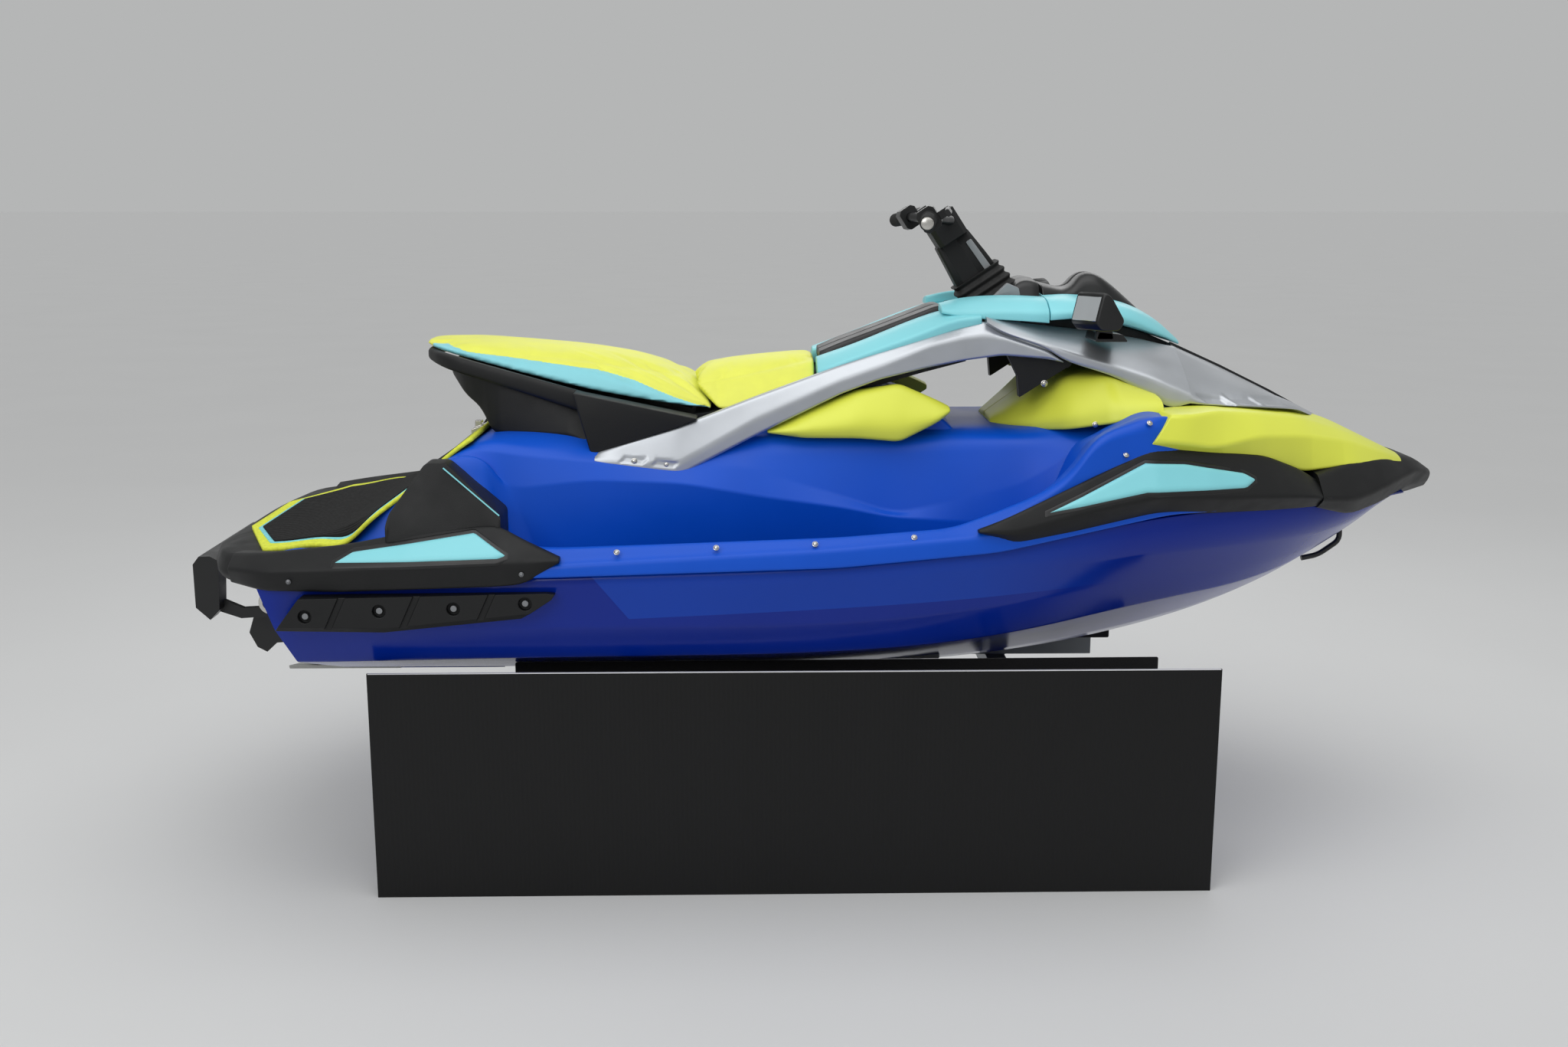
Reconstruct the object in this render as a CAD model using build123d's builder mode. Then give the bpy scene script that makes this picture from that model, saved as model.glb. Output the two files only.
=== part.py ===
# Two-seat personal watercraft on a low display stand.
# +X points to the bow, +Y to port, +Z up. The floor is z = 0 and x = 0 is mid-length.

import os
from build123d import *

os.makedirs("parts", exist_ok=True)

# ---------------------------------------------------------------- driving dimensions, mm
craft_length = 2870.0       # boarding step to bow bumper
craft_beam = 1140.0         # over the side bumpers
keel_lift = 390.0           # floor to keel

# Outlines below are drawn for a craft of these sizes and carried to the ones above.
drawn_length = 2870.0
drawn_beam = 1140.0
drawn_lift = 390.0

running_gap = 0.3           # between pieces that only rest near each other
moving_gap = 6.0            # round lids, buckets and other moving pieces
pin_clearance = 0.05        # radial, of a pin in its bore


def along(x):
    return x * craft_length / drawn_length


def across(y):
    return y * craft_beam / drawn_beam


def up(z):
    return z - drawn_lift + keel_lift


def side_points(outline):
    return [(along(x), up(z)) for x, z in outline]


def plan_points(outline):
    return [(along(x), across(y)) for x, y in outline]


def polygon(plane, corners):
    with BuildSketch(plane) as outline:
        with BuildLine():
            Polyline(*corners, close=True)
        make_face()
    return outline.sketch


def side_slab(outline, inner, outer, mode=Mode.ADD):
    # a side outline (x, z), solid between two half-breadths
    face = polygon(Plane.XZ.offset(-across(inner)), side_points(outline))
    extrude(face, amount=across(outer - inner), dir=(0, 1, 0), mode=mode)


def plan_slab(outline, bottom, top, mode=Mode.ADD):
    # a plan outline (x, y), solid between two heights
    face = polygon(Plane.XY.offset(up(bottom)), plan_points(outline))
    extrude(face, amount=top - bottom, dir=(0, 0, 1), mode=mode)


def hung_slab(pivot, outline, inner, outer, mode=Mode.ADD):
    # a side outline (x, z) about a pivot, solid between two distances from the centreline
    face = polygon(Plane.XZ.offset(-inner), [(pivot[0] + x, pivot[1] + z) for x, z in outline])
    extrude(face, amount=outer - inner, dir=(0, 1, 0), mode=mode)


def station(x, corners):
    # the corners (y, z) of a cross-section at x
    return [Vector(along(x), across(y), up(z)) for y, z in corners]


def full_station(x, half):
    # a whole cross-section, from its port half listed keel to crown
    return station(x, half + [(-y, z) for y, z in reversed(half) if y > 0])


def panels(stations, mode=Mode.ADD):
    # a solid of flat panels between successive stations, each twisted one folded along its shorter diagonal
    corners = [stations[0], stations[-1]]
    for near, far in zip(stations, stations[1:]):
        for a, b, c, d in zip([near[-1], *near], near, far, [far[-1], *far]):
            if (c - a).length < (d - b).length:
                corners += [(a, b, c), (a, c, d)]
            else:
                corners += [(a, b, d), (b, c, d)]
    add(Solid(Shell([Face(Wire.make_polygon(points)) for points in corners])), mode=mode)


def finish(builder, name):
    builder.part.label = name
    export_step(builder.part, f"parts/{name}.step")


# ---------------------------------------------------------------- hull
# Rows: x, keel height, then (half-breadth, height) of strake, inner chine, outer chine,
# side knuckle and sheer.
hull_lines = [
    (-1240, 391, (130, 428), (412, 520), (478, 612), (492, 690), (497, 722)),
    (-600, 390, (130, 428), (430, 536), (498, 618), (526, 700), (538, 738)),
    (0, 390, (130, 430), (430, 541), (500, 622), (532, 712), (546, 758)),
    (350, 408, (125, 450), (402, 566), (470, 652), (512, 742), (536, 790)),
    (700, 468, (100, 508), (310, 622), (366, 694), (428, 757), (472, 848)),
    (1000, 566, (64, 592), (168, 640), (214, 682), (288, 757), (366, 848)),
    (1200, 692, (28, 700), (60, 712), (84, 722), (150, 758), (250, 836)),
    (1345, 796, (8, 799), (14, 802), (20, 806), (40, 814), (104, 828)),
]
transom_foot = (-1152, 538)
transom_head = (-1196, 700)


def transom_at(height):
    # where the raked transom stands at a height over the floor
    rake = (transom_head[0] - transom_foot[0]) / (transom_head[1] - transom_foot[1])
    return along(transom_foot[0] + rake * (height - up(transom_foot[1])))


def hull_half(row):
    x, keel, *corners = row
    return [(0, keel), *corners, (0, corners[-1][1])]


engine_size = (520.0, 340.0, 280.0)
engine_well = (560.0, 380.0)
engine_x = 0.0
well_floor = 452.0

footwell_floor = 650.0
footwell_wall = 8.0
footwell_plan = [(-690, 230), (-690, 420), (-560, 462), (0, 468), (330, 438), (520, 400), (520, 230)]
footwell_side = [(-690, 1200), (-664, 700), (-604, footwell_floor), (300, footwell_floor),
                 (395, 700), (470, 830), (520, 1005), (520, 1200)]


def footwell(grow):
    # the port footwell's space, or with its wall round it
    with BuildPart() as space:
        with BuildSketch(Plane.XZ.offset(-across(100))) as side_view:
            with BuildLine():
                Polyline(*side_points(footwell_side), close=True)
            make_face()
            if grow > 0:
                offset(amount=grow, kind=Kind.INTERSECTION)
        extrude(side_view.sketch, amount=across(500), dir=(0, 1, 0))
        with BuildSketch(Plane.XY.offset(up(600))) as plan_view:
            with BuildLine():
                Polyline(*plan_points(footwell_plan), close=True)
            make_face()
            if grow > 0:
                offset(amount=grow, kind=Kind.INTERSECTION)
        extrude(plan_view.sketch, amount=610, dir=(0, 0, 1), mode=Mode.INTERSECT)
    return space.part


pump_radius = 78.0          # jet pump bore
pump_wall = 9.0
shaft_line = up(422) + pump_radius
tunnel_front = along(-760)
tunnel_half = pump_radius + pump_wall + 14
intake_half = 75.0
intake_slope = [(-761, 380), (-761, 560), (-560, 380)]

transom_normal = (up(transom_head[1]) - up(transom_foot[1]), 0,
                  transom_at(up(transom_foot[1])) - transom_at(up(transom_head[1])))
with BuildPart() as hull:
    panels([full_station(row[0], hull_half(row)) for row in hull_lines])
    split(bisect_by=Plane(origin=(transom_at(up(transom_foot[1])), 0, up(transom_foot[1])),
                          x_dir=(0, 1, 0), z_dir=transom_normal), keep=Keep.TOP)
    # room for the deck's footwells
    port_well = footwell(footwell_wall)
    add([port_well, port_well.mirror(Plane.XZ)], mode=Mode.SUBTRACT)
    # engine well, closed above by the deck
    with Locations((along(engine_x), 0, up(well_floor))):
        Box(*engine_well, 600, align=(Align.CENTER, Align.CENTER, Align.MIN), mode=Mode.SUBTRACT)
    # jet tunnel: an arch in the bottom, open astern
    with BuildSketch(Plane.YZ.offset(tunnel_front)) as tunnel:
        with Locations((0, shaft_line)):
            Circle(tunnel_half)
            Rectangle(2 * tunnel_half, 2 * tunnel_half, align=(Align.CENTER, Align.MAX))
    extrude(tunnel.sketch, amount=along(600), dir=(-1, 0, 0), mode=Mode.SUBTRACT)
    # sloping front of the intake
    side_slab(intake_slope, -intake_half, intake_half, mode=Mode.SUBTRACT)
finish(hull, "hull")

with BuildPart() as engine:
    with Locations((along(engine_x), 0, up(well_floor))):
        Box(*engine_size, align=(Align.CENTER, Align.CENTER, Align.MIN))
finish(engine, "engine")

# ---------------------------------------------------------------- deck
# Rows: x, then (half-breadth, height) of gunwale edge and ledge, and the crown's height.
deck_stern = -1228
deck_edge = [
    (-1240, (490, 745), (430, 752), 760),
    (-600, (556, 764), (520, 772), 800),
    (0, (562, 796), (524, 804), 812),
    (350, (552, 828), (515, 842), 860),
    (700, (468, 900), (420, 990), 1046),
    (1000, (366, 878), (330, 960), 1026),
    (1200, (250, 880), (200, 930), 958),
    (1345, (104, 842), (80, 860), 870),
]


def deck_half(row, lines):
    _, gunwale, ledge, crown = row
    sheer_height = lines[-1][1]
    return [(0, sheer_height), (gunwale[0], sheer_height), gunwale, ledge, (0, crown)]


saddle_lines = [
    (-820, (330, 760), (352, 860), (330, 930), (230, 950), 955),
    (-700, (330, 640), (352, 880), (322, 962), (230, 990), 994),
    (-520, (300, 640), (335, 905), (305, 955), (230, 1000), 1004),
    (-325, (275, 640), (322, 893), (285, 962), (225, 1004), 1006),
    (0, (262, 640), (305, 836), (262, 975), (225, 1000), 1004),
    (140, (258, 640), (295, 812), (256, 975), (215, 1000), 1003),
    (300, (262, 640), (296, 812), (252, 982), (200, 996), 997),
    (420, (280, 640), (310, 812), (268, 985), (200, 996), 997),
    (600, (330, 640), (350, 812), (320, 1000), (240, 1030), 1040),
]


def saddle_half(row):
    x, *corners, crown = row
    return [(0, corners[0][1]), *corners, (0, crown)]


with BuildPart() as deck:
    panels([full_station(row[0], deck_half(row, lines[2:])) for row, lines in zip(deck_edge, hull_lines)])
    # rear platform ramp up to the seat
    side_slab([(-1235, 740), (-1235, 748), (-1050, 790), (-905, 885), (-815, 966), (-745, 992),
               (-640, 990), (-640, 740)], -400, 400)
    # nose of the front deck, rising behind the footwells
    panels([full_station(x, half) for x, half in (
        (505, [(0, 800), (500, 800), (505, 880), (478, 985), (300, 1000), (0, 1000)]),
        (650, [(0, 800), (482, 820), (478, 920), (446, 1048), (300, 1060), (0, 1060)]),
        (700, [(0, 800), (465, 860), (460, 930), (420, 1038), (300, 1056), (0, 1062)]),
    )])
    # footwells, one each side, sunk into the hull
    with BuildPart(mode=Mode.PRIVATE) as pans:
        add(footwell(footwell_wall))
        plan_slab([(-720, 200), (-720, 500), (560, 500), (560, 200)], 600, 780, mode=Mode.INTERSECT)
        mirror(about=Plane.XZ)
    add(pans.part)
    inner_space = footwell(0)
    add([inner_space, inner_space.mirror(Plane.XZ)], mode=Mode.SUBTRACT)
    # saddle between the footwells, with its long side crease
    panels([full_station(row[0], saddle_half(row)) for row in saddle_lines])
    # hump that carries the knee pads and the front of the seat
    side_slab([(-420, 980), (-300, 1010), (-140, 1050), (60, 1084), (140, 1090), (235, 1040),
               (285, 990)], -215, 215)
    split(bisect_by=Plane(origin=(along(deck_stern), 0, 0), z_dir=(1, 0, 0)), keep=Keep.TOP)
    with Locations((along(engine_x), 0, up(well_floor))):
        Box(*engine_well, engine_size[2] + moving_gap, align=(Align.CENTER, Align.CENTER, Align.MIN),
            mode=Mode.SUBTRACT)
    add(hull.part, mode=Mode.SUBTRACT)
finish(deck, "deck")


# ---------------------------------------------------------------- bumpers
# Rows: x, then (half-breadth, height) of foot, side crease, top edge and inner edge.
rear_bumper_lines = [
    (-1262, (470, 712), (486, 746), (440, 770), (370, 760)),
    (-1180, (520, 705), (533, 750), (476, 778), (405, 765)),
    (-1014, (537, 706), (551, 757), (486, 798), (415, 775)),
    (-877, (545, 712), (559, 766), (492, 826), (425, 790)),
    (-698, (551, 719), (565, 773), (500, 843), (440, 790)),
    (-640, (553, 724), (566, 774), (518, 812), (455, 790)),
    (-566, (554, 772), (566, 777), (548, 782), (500, 774)),
]
front_bumper_lines = [
    (288, (540, 826), (566, 832), (556, 838), (530, 832)),
    (340, (536, 808), (568, 830), (552, 860), (520, 840)),
    (368, (530, 790), (567, 832), (548, 872), (510, 845)),
    (500, (512, 820), (553, 866), (520, 928), (470, 900)),
    (662, (478, 850), (518, 893), (464, 994), (420, 960)),
    (780, (446, 846), (486, 886), (424, 986), (370, 960)),
    (930, (386, 840), (430, 878), (366, 960), (310, 930)),
    (1016, (348, 838), (392, 872), (330, 926), (280, 900)),
    (1084, (318, 838), (360, 862), (300, 884), (250, 870)),
]
insert_proud = 3.0
insert_depth = 6.0


def bumper_loft(lines, grow=0.0):
    def ring(row):
        x, foot, crease, top, inner = row
        return station(x, [(inner[0], foot[1]), (foot[0] + grow, foot[1]),
                           (crease[0] + grow, crease[1] + grow / 2),
                           (top[0] + grow, top[1] + grow), inner])
    panels([ring(row) for row in lines])


def bumper_insert(lines, outline, plan):
    # a strip of the bumper's sloping upper face, let in and standing a little proud
    with BuildPart() as insert:
        bumper_loft(lines, insert_proud)
        side_slab(outline, 300, 620, mode=Mode.INTERSECT)
        plan_slab(plan, 600, 1100, mode=Mode.INTERSECT)
        with BuildPart(mode=Mode.PRIVATE) as core:
            bumper_loft(lines, -insert_depth)
        add(core.part, mode=Mode.SUBTRACT)
    return insert.part


rear_insert_outline = [(-1031, 766), (-993, 787), (-743, 826), (-672, 785), (-700, 780)]
front_insert_outline = [(425, 866), (640, 962), (730, 956), (866, 930), (896, 914), (870, 896), (640, 902)]
rear_insert_plan = [(-1100, 496), (-600, 506), (-600, 620), (-1100, 620)]
front_insert_plan = [(400, 534), (662, 466), (780, 428), (930, 370), (930, 620), (400, 620)]
rear_insert = bumper_insert(rear_bumper_lines, rear_insert_outline, rear_insert_plan)
front_insert = bumper_insert(front_bumper_lines, front_insert_outline, front_insert_plan)

with BuildPart() as bumper_inserts:
    add([rear_insert, front_insert])
    mirror(about=Plane.XZ)
finish(bumper_inserts, "bumper_inserts")

with BuildPart() as rear_bumpers:
    bumper_loft(rear_bumper_lines)
    add([hull.part, deck.part, rear_insert], mode=Mode.SUBTRACT)
    mirror(about=Plane.XZ)
finish(rear_bumpers, "rear_bumpers")

with BuildPart() as front_bumpers:
    bumper_loft(front_bumper_lines)
    add([hull.part, deck.part, front_insert], mode=Mode.SUBTRACT)
    mirror(about=Plane.XZ)
finish(front_bumpers, "front_bumpers")

with BuildPart() as bow_bumper:
    panels([full_station(x, half) for x, half in (
        (1060, [(0, 830), (332, 836), (374, 862), (324, 908), (0, 930)]),
        (1160, [(0, 804), (262, 806), (316, 852), (262, 928), (0, 940)]),
        (1260, [(0, 800), (178, 818), (236, 872), (180, 926), (0, 938)]),
        (1360, [(0, 802), (84, 840), (138, 890), (96, 912), (0, 914)]),
        (1437, [(0, 826), (26, 846), (34, 862), (24, 870), (0, 872)]),
    )])
    add([hull.part, deck.part, front_bumpers.part], mode=Mode.SUBTRACT)
    split(bisect_by=Plane(origin=(along(1435), 0, 0), z_dir=(1, 0, 0)), keep=Keep.BOTTOM)
finish(bow_bumper, "bow_bumper")

with BuildPart() as stern_bumper:
    panels([full_station(x, half) for x, half in (
        (-1210, [(0, 700), (470, 700), (500, 722), (470, 764), (0, 764)]),
        (-1300, [(0, 700), (400, 700), (428, 722), (400, 762), (0, 762)]),
        (-1366, [(0, 706), (200, 706), (240, 722), (200, 742), (0, 742)]),
    )])
    add([hull.part, deck.part, rear_bumpers.part], mode=Mode.SUBTRACT)
finish(stern_bumper, "stern_bumper")

# ---------------------------------------------------------------- arches and cowl
# Rows: x, outer half-breadth, thickness, lower, ridge and upper heights.
arch_lines = [
    (-513, 324, 30, 940, 946, 956),
    (-501, 324, 34, 932, 942, 962),
    (-336, 318, 44, 906, 935, 1012),
    (-164, 290, 44, 992, 1030, 1075),
    (25, 262, 44, 1080, 1110, 1141),
    (108, 258, 44, 1110, 1140, 1168),
    (216, 256, 44, 1136, 1186, 1203),
    (287, 256, 44, 1150, 1202, 1224),
    (338, 256, 44, 1157, 1206, 1236),
    (376, 257, 44, 1162, 1202, 1210),
    (472, 260, 40, 1154, 1170, 1178),
    (507, 262, 34, 1147, 1149, 1151),
]


def arch_section(row):
    x, outer, thick, lower, ridge, upper = row
    return station(x, [(outer - thick, lower), (outer - 4, lower), (outer, ridge),
                       (outer - 22, upper), (outer - thick, upper)])


# Rows: x, lower edge, ridge and upper edge as (half-breadth, height).
cowl_arm_lines = [
    (339, (256, 1234), (250, 1240), (212, 1242)),
    (376, (257, 1211), (254, 1216), (206, 1238)),
    (472, (260, 1179), (262, 1184), (178, 1224)),
    (507, (262, 1152), (264, 1173), (170, 1221)),
    (620, (272, 1118), (276, 1140), (156, 1205)),
    (700, (284, 1082), (284, 1118), (146, 1192)),
    (780, (296, 1062), (292, 1082), (132, 1172)),
]
cowl_front_lines = [
    (780, (296, 1062), (292, 1082), (132, 1172), 1176),
    (817, (298, 1058), (294, 1063), (124, 1152), 1160),
    (924, (284, 1052), (276, 1058), (110, 1102), 1113),
    (1043, (214, 1038), (200, 1044), (80, 1050), 1055),
    (1140, (70, 1000), (62, 1003), (30, 1003), 1004),
]
cowl_thickness = 12.0
arch_screws = (-455, -395)
recess_depth = 9.0


def cowl_arm(row):
    x, low, ridge, top = row
    t = cowl_thickness
    return station(x, [low, ridge, top, (top[0], top[1] - t), (ridge[0] - t, ridge[1] - t),
                       (low[0] - t, low[1] - 1)])


def cowl_front(row):
    x, low, ridge, top, crown = row
    t = cowl_thickness
    half = [(0, crown - t), (top[0], top[1] - t), (ridge[0] - t, ridge[1] - t),
            (low[0] - t, low[1] - 1), low, ridge, top, (0, crown)]
    return full_station(x, half)


with BuildPart() as front_cowl:
    panels([cowl_arm(row) for row in cowl_arm_lines])
    mirror(about=Plane.XZ)
    panels([cowl_front(row) for row in cowl_front_lines])
    add(deck.part, mode=Mode.SUBTRACT)
finish(front_cowl, "front_cowl")

with BuildPart() as arches:
    panels([arch_section(row) for row in arch_lines])
    # recesses for the foot's screws
    for x in arch_screws:
        side_slab([(x - 26, 924), (x + 14, 924), (x + 26, 946), (x - 6, 946)],
                  arch_lines[1][1] - recess_depth, arch_lines[1][1] + recess_depth, mode=Mode.SUBTRACT)
    mirror(about=Plane.XZ)
    add([front_cowl.part, deck.part], mode=Mode.SUBTRACT)
finish(arches, "arches")

# ---------------------------------------------------------------- fenders
with BuildPart() as fenders:
    panels([station(x, half) for x, half in (
        (624, [(380, 900), (470, 940), (462, 1000), (444, 1066), (300, 1078), (300, 900)]),
        (700, [(360, 900), (464, 950), (452, 1010), (418, 1064), (280, 1074), (280, 900)]),
        (800, [(300, 900), (434, 955), (418, 1010), (380, 1056), (240, 1078), (240, 900)]),
        (1000, [(200, 900), (350, 918), (330, 975), (280, 1020), (80, 1062), (80, 900)]),
        (1150, [(120, 900), (272, 920), (250, 955), (190, 985), (48, 1004), (48, 900)]),
        (1318, [(60, 880), (150, 908), (136, 916), (110, 922), (44, 926), (44, 880)]),
    )])
    # slanted rear edge
    side_slab([(560, 900), (560, 1100), (690, 1100), (676, 1066), (624, 952), (624, 900)], 200, 600,
              mode=Mode.SUBTRACT)
    mirror(about=Plane.XZ)
    add([deck.part, front_cowl.part, front_bumpers.part, bow_bumper.part, front_insert],
        mode=Mode.SUBTRACT)
    add(front_insert.mirror(Plane.XZ), mode=Mode.SUBTRACT)
finish(fenders, "fenders")


# ---------------------------------------------------------------- knee pads, shrouds, arch struts
with BuildPart() as knee_pads:
    panels([station(x, half) for x, half in (
        (-140, [(216, 1000), (268, 998), (274, 1002), (240, 1006), (216, 1006)]),
        (-60, [(216, 985), (284, 985), (292, 1010), (252, 1036), (216, 1040)]),
        (60, [(216, 984), (286, 984), (294, 1020), (254, 1084), (216, 1086)]),
        (150, [(216, 976), (284, 976), (290, 1016), (250, 1104), (216, 1092)]),
        (232, [(216, 1020), (276, 1018), (280, 1030), (248, 1066), (216, 1046)]),
        (262, [(216, 1036), (262, 1036), (266, 1044), (244, 1052), (216, 1040)]),
    )])
    mirror(about=Plane.XZ)
    add([deck.part, arches.part], mode=Mode.SUBTRACT)
finish(knee_pads, "knee_pads")

with BuildPart() as shrouds:
    panels([station(x, half) for x, half in (
        (348, [(190, 990), (270, 990), (280, 1010), (250, 1030), (190, 1030)]),
        (424, [(190, 990), (300, 990), (308, 1020), (262, 1072), (190, 1074)]),
        (520, [(200, 1000), (330, 1010), (326, 1050), (262, 1132), (200, 1136)]),
        (606, [(210, 1030), (362, 1030), (346, 1066), (274, 1118), (210, 1122)]),
        (706, [(220, 1040), (372, 1056), (352, 1072), (284, 1080), (220, 1084)]),
    )])
    mirror(about=Plane.XZ)
    add([deck.part, arches.part, front_cowl.part, fenders.part], mode=Mode.SUBTRACT)
finish(shrouds, "shrouds")

with BuildPart() as arch_struts:
    side_slab([(386, 1166), (412, 1115), (420, 1040), (445, 1040), (486, 1098), (530, 1140), (530, 1166)],
              206, 236)
    mirror(about=Plane.XZ)
    add([deck.part, arches.part, front_cowl.part, shrouds.part], mode=Mode.SUBTRACT)
finish(arch_struts, "arch_struts")

# ---------------------------------------------------------------- upper frame: the bridge between the arches
lid_half_width = 92.0
glovebox_half_width = 76.0
store_half_width = 112.0
rod_radius = 4.0
barrel_radius = 8.0
rod_half = across(84)
ear_width = 12.0
ear_places = (-across(66), across(66))
lid_rod = (along(262), up(1247))
lid_rod_plane = Plane(origin=(lid_rod[0], 0, lid_rod[1]), z_dir=(0, 1, 0))

with BuildPart() as upper_frame:
    side_slab([(-320, 1012), (-300, 1030), (-248, 1036), (-145, 1068), (-16, 1108), (8, 1136), (60, 1156),
               (252, 1236), (300, 1246), (300, 1146), (200, 1120), (110, 1094), (60, 1088), (-140, 1054),
               (-300, 1014)], -212, 212)
    # glovebox, open at the top under its lid
    side_slab([(0, 1300), (4, 1104), (60, 1102), (232, 1142), (232, 1300)], -glovebox_half_width,
              glovebox_half_width, mode=Mode.SUBTRACT)
    # rod and ears of the lid's hinge
    with Locations(lid_rod_plane):
        Cylinder(rod_radius, 2 * rod_half)
    for place in ear_places:
        hung_slab(lid_rod, [(-6, -20), (-6, 6), (6, 6), (6, -20)],
                  place - ear_width / 2, place + ear_width / 2)
    add([deck.part, arches.part, front_cowl.part, knee_pads.part, shrouds.part, arch_struts.part],
        mode=Mode.SUBTRACT)
finish(upper_frame, "upper_frame")

with BuildPart() as hood_frame:
    side_slab([(300, 1246), (350, 1256), (478, 1228), (560, 1241.5), (656, 1215.9), (740, 1183), (770, 1168),
               (770, 1066), (560, 1066), (440, 1150), (400, 1156), (300, 1146)], -212, 212)
    # bow store, open at the top under its lid
    side_slab([(530, 1300), (560, 1080), (740, 1080), (740, 1300)], -store_half_width, store_half_width,
              mode=Mode.SUBTRACT)
    add([deck.part, arches.part, front_cowl.part, knee_pads.part, shrouds.part, arch_struts.part],
        mode=Mode.SUBTRACT)
finish(hood_frame, "hood_frame")

# lid over the glovebox, hinged at its front edge
with BuildPart() as glovebox_lid:
    side_slab([(-20, 1136), (-12, 1154), (23, 1168), (251, 1256), (265, 1256), (262, 1241), (60, 1156.3),
               (8, 1136.3)], -lid_half_width, lid_half_width)
    with Locations(lid_rod_plane):
        Cylinder(barrel_radius, 2 * across(lid_half_width))
        Cylinder(rod_radius + pin_clearance, 2 * across(lid_half_width), mode=Mode.SUBTRACT)
    # notches round the frame's ears
    for place in ear_places:
        hung_slab(lid_rod, [(-14, -20), (-14, 14), (14, 14), (14, -20)], place - ear_width / 2 - 2,
                  place + ear_width / 2 + 2, mode=Mode.SUBTRACT)
    add(upper_frame.part, mode=Mode.SUBTRACT)
finish(glovebox_lid, "glovebox_lid")

# ---------------------------------------------------------------- tank panels, hood and dash
panel_gap = lid_half_width + 2.0
with BuildPart() as tank_panels:
    panels([station(x, half) for x, half in (
        (-28, [(panel_gap, 1110), (226, 1110), (226, 1126), (150, 1154), (panel_gap, 1158)]),
        (60, [(panel_gap, 1140), (232, 1140), (232, 1156), (160, 1182), (panel_gap, 1184)]),
        (190, [(panel_gap, 1190), (236, 1180), (236, 1192), (166, 1232), (panel_gap, 1236)]),
        (268, [(panel_gap, 1220), (238, 1210), (238, 1226), (170, 1256), (panel_gap, 1262)]),
        (330, [(panel_gap, 1230), (238, 1226), (238, 1234), (180, 1244), (panel_gap, 1250)]),
    )])
    mirror(about=Plane.XZ)
    add([upper_frame.part, hood_frame.part, arches.part, front_cowl.part], mode=Mode.SUBTRACT)
finish(tank_panels, "tank_panels")

lid_seam = 2.0
hood_lines = [
    (246, (130, 1252), (206, 1250), (204, 1258), (176, 1268), (130, 1270)),
    (304, (130, 1258), (226, 1240), (222, 1254), (186, 1279), (130, 1284)),
    (400, (130, 1262), (230, 1236), (228, 1256), (188, 1280), (130, 1288)),
    (478, (130, 1250), (232, 1230), (230, 1252), (188, 1278), (130, 1284)),
]
store_lid_lines = [
    (480, (0, 1256), (150, 1246), (232, 1230), (230, 1252), (188, 1278), 1290),
    (553, (0, 1252), (150, 1244), (222, 1240), (224, 1254), (186, 1276), 1290),
    (656, (0, 1220), (140, 1216), (190, 1224), (196, 1240), (168, 1266), 1276),
    (740, (0, 1186), (110, 1184), (150, 1196), (152, 1206), (120, 1232), 1242),
    (805, (0, 1160), (60, 1162), (84, 1166), (88, 1172), (70, 1180), 1186),
]

with BuildPart() as hood_sides:
    panels([station(row[0], list(row[1:])) for row in hood_lines])
    mirror(about=Plane.XZ)
    add([upper_frame.part, hood_frame.part, tank_panels.part, front_cowl.part, arches.part],
        mode=Mode.SUBTRACT)
finish(hood_sides, "hood_sides")

with BuildPart() as store_lid:
    panels([full_station(row[0] + lid_seam, [row[1], row[2], row[3], row[4], row[5], (0, row[6])])
          for row in store_lid_lines])
    # the nose lifts clear of the cowl's lip
    side_slab([(730, 1100), (730, 1193), (810, 1168.6), (810, 1100)], -100, 100, mode=Mode.SUBTRACT)
    add([upper_frame.part, hood_frame.part, front_cowl.part], mode=Mode.SUBTRACT)
finish(store_lid, "store_lid")

with BuildPart() as lid_cap:
    panels([full_station(x, half) for x, half in (
        (556, [(0, 1270), (66, 1270), (60, 1296), (0, 1300)]),
        (582, [(0, 1270), (72, 1270), (62, 1330), (0, 1334)]),
        (618, [(0, 1266), (78, 1266), (60, 1328), (0, 1336)]),
        (660, [(0, 1260), (78, 1260), (56, 1296), (0, 1304)]),
        (716, [(0, 1240), (62, 1240), (40, 1250), (0, 1252)]),
    )])
    add(store_lid.part, mode=Mode.SUBTRACT)
finish(lid_cap, "lid_cap")

with BuildPart() as dash:
    side_slab([(284, 1240), (288, 1262), (340, 1268), (404, 1300), (440, 1310), (474, 1298), (474, 1232)],
              -128, 128)
    add([upper_frame.part, hood_frame.part, tank_panels.part, hood_sides.part, glovebox_lid.part],
        mode=Mode.SUBTRACT)
finish(dash, "dash")

# ---------------------------------------------------------------- mirrors
mirror_inner = 300.0
mirror_outer = 372.0
mirror_rim = 5.0
with BuildPart() as mirrors:
    side_slab([(516, 1240), (536, 1301), (546, 1305), (566, 1295), (608, 1244), (594, 1224), (536, 1222)],
              mirror_inner, mirror_outer)
    # recess for the glass
    side_slab([(510, 1246), (528, 1302), (539, 1295), (522, 1243)], mirror_inner + mirror_rim,
              mirror_outer - mirror_rim, mode=Mode.SUBTRACT)
    side_slab([(560, 1196), (566, 1220), (622, 1214), (634, 1196)], 212, 324)
    side_slab([(562, 1200), (566, 1240), (596, 1236), (604, 1200)], 300, 324)
    mirror(about=Plane.XZ)
    add([store_lid.part, front_cowl.part], mode=Mode.SUBTRACT)
finish(mirrors, "mirrors")

with BuildPart() as mirror_glasses:
    side_slab([(519, 1244), (536, 1296), (539, 1295), (522, 1243)], mirror_inner + mirror_rim,
              mirror_outer - mirror_rim)
    mirror(about=Plane.XZ)
finish(mirror_glasses, "mirror_glasses")

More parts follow.
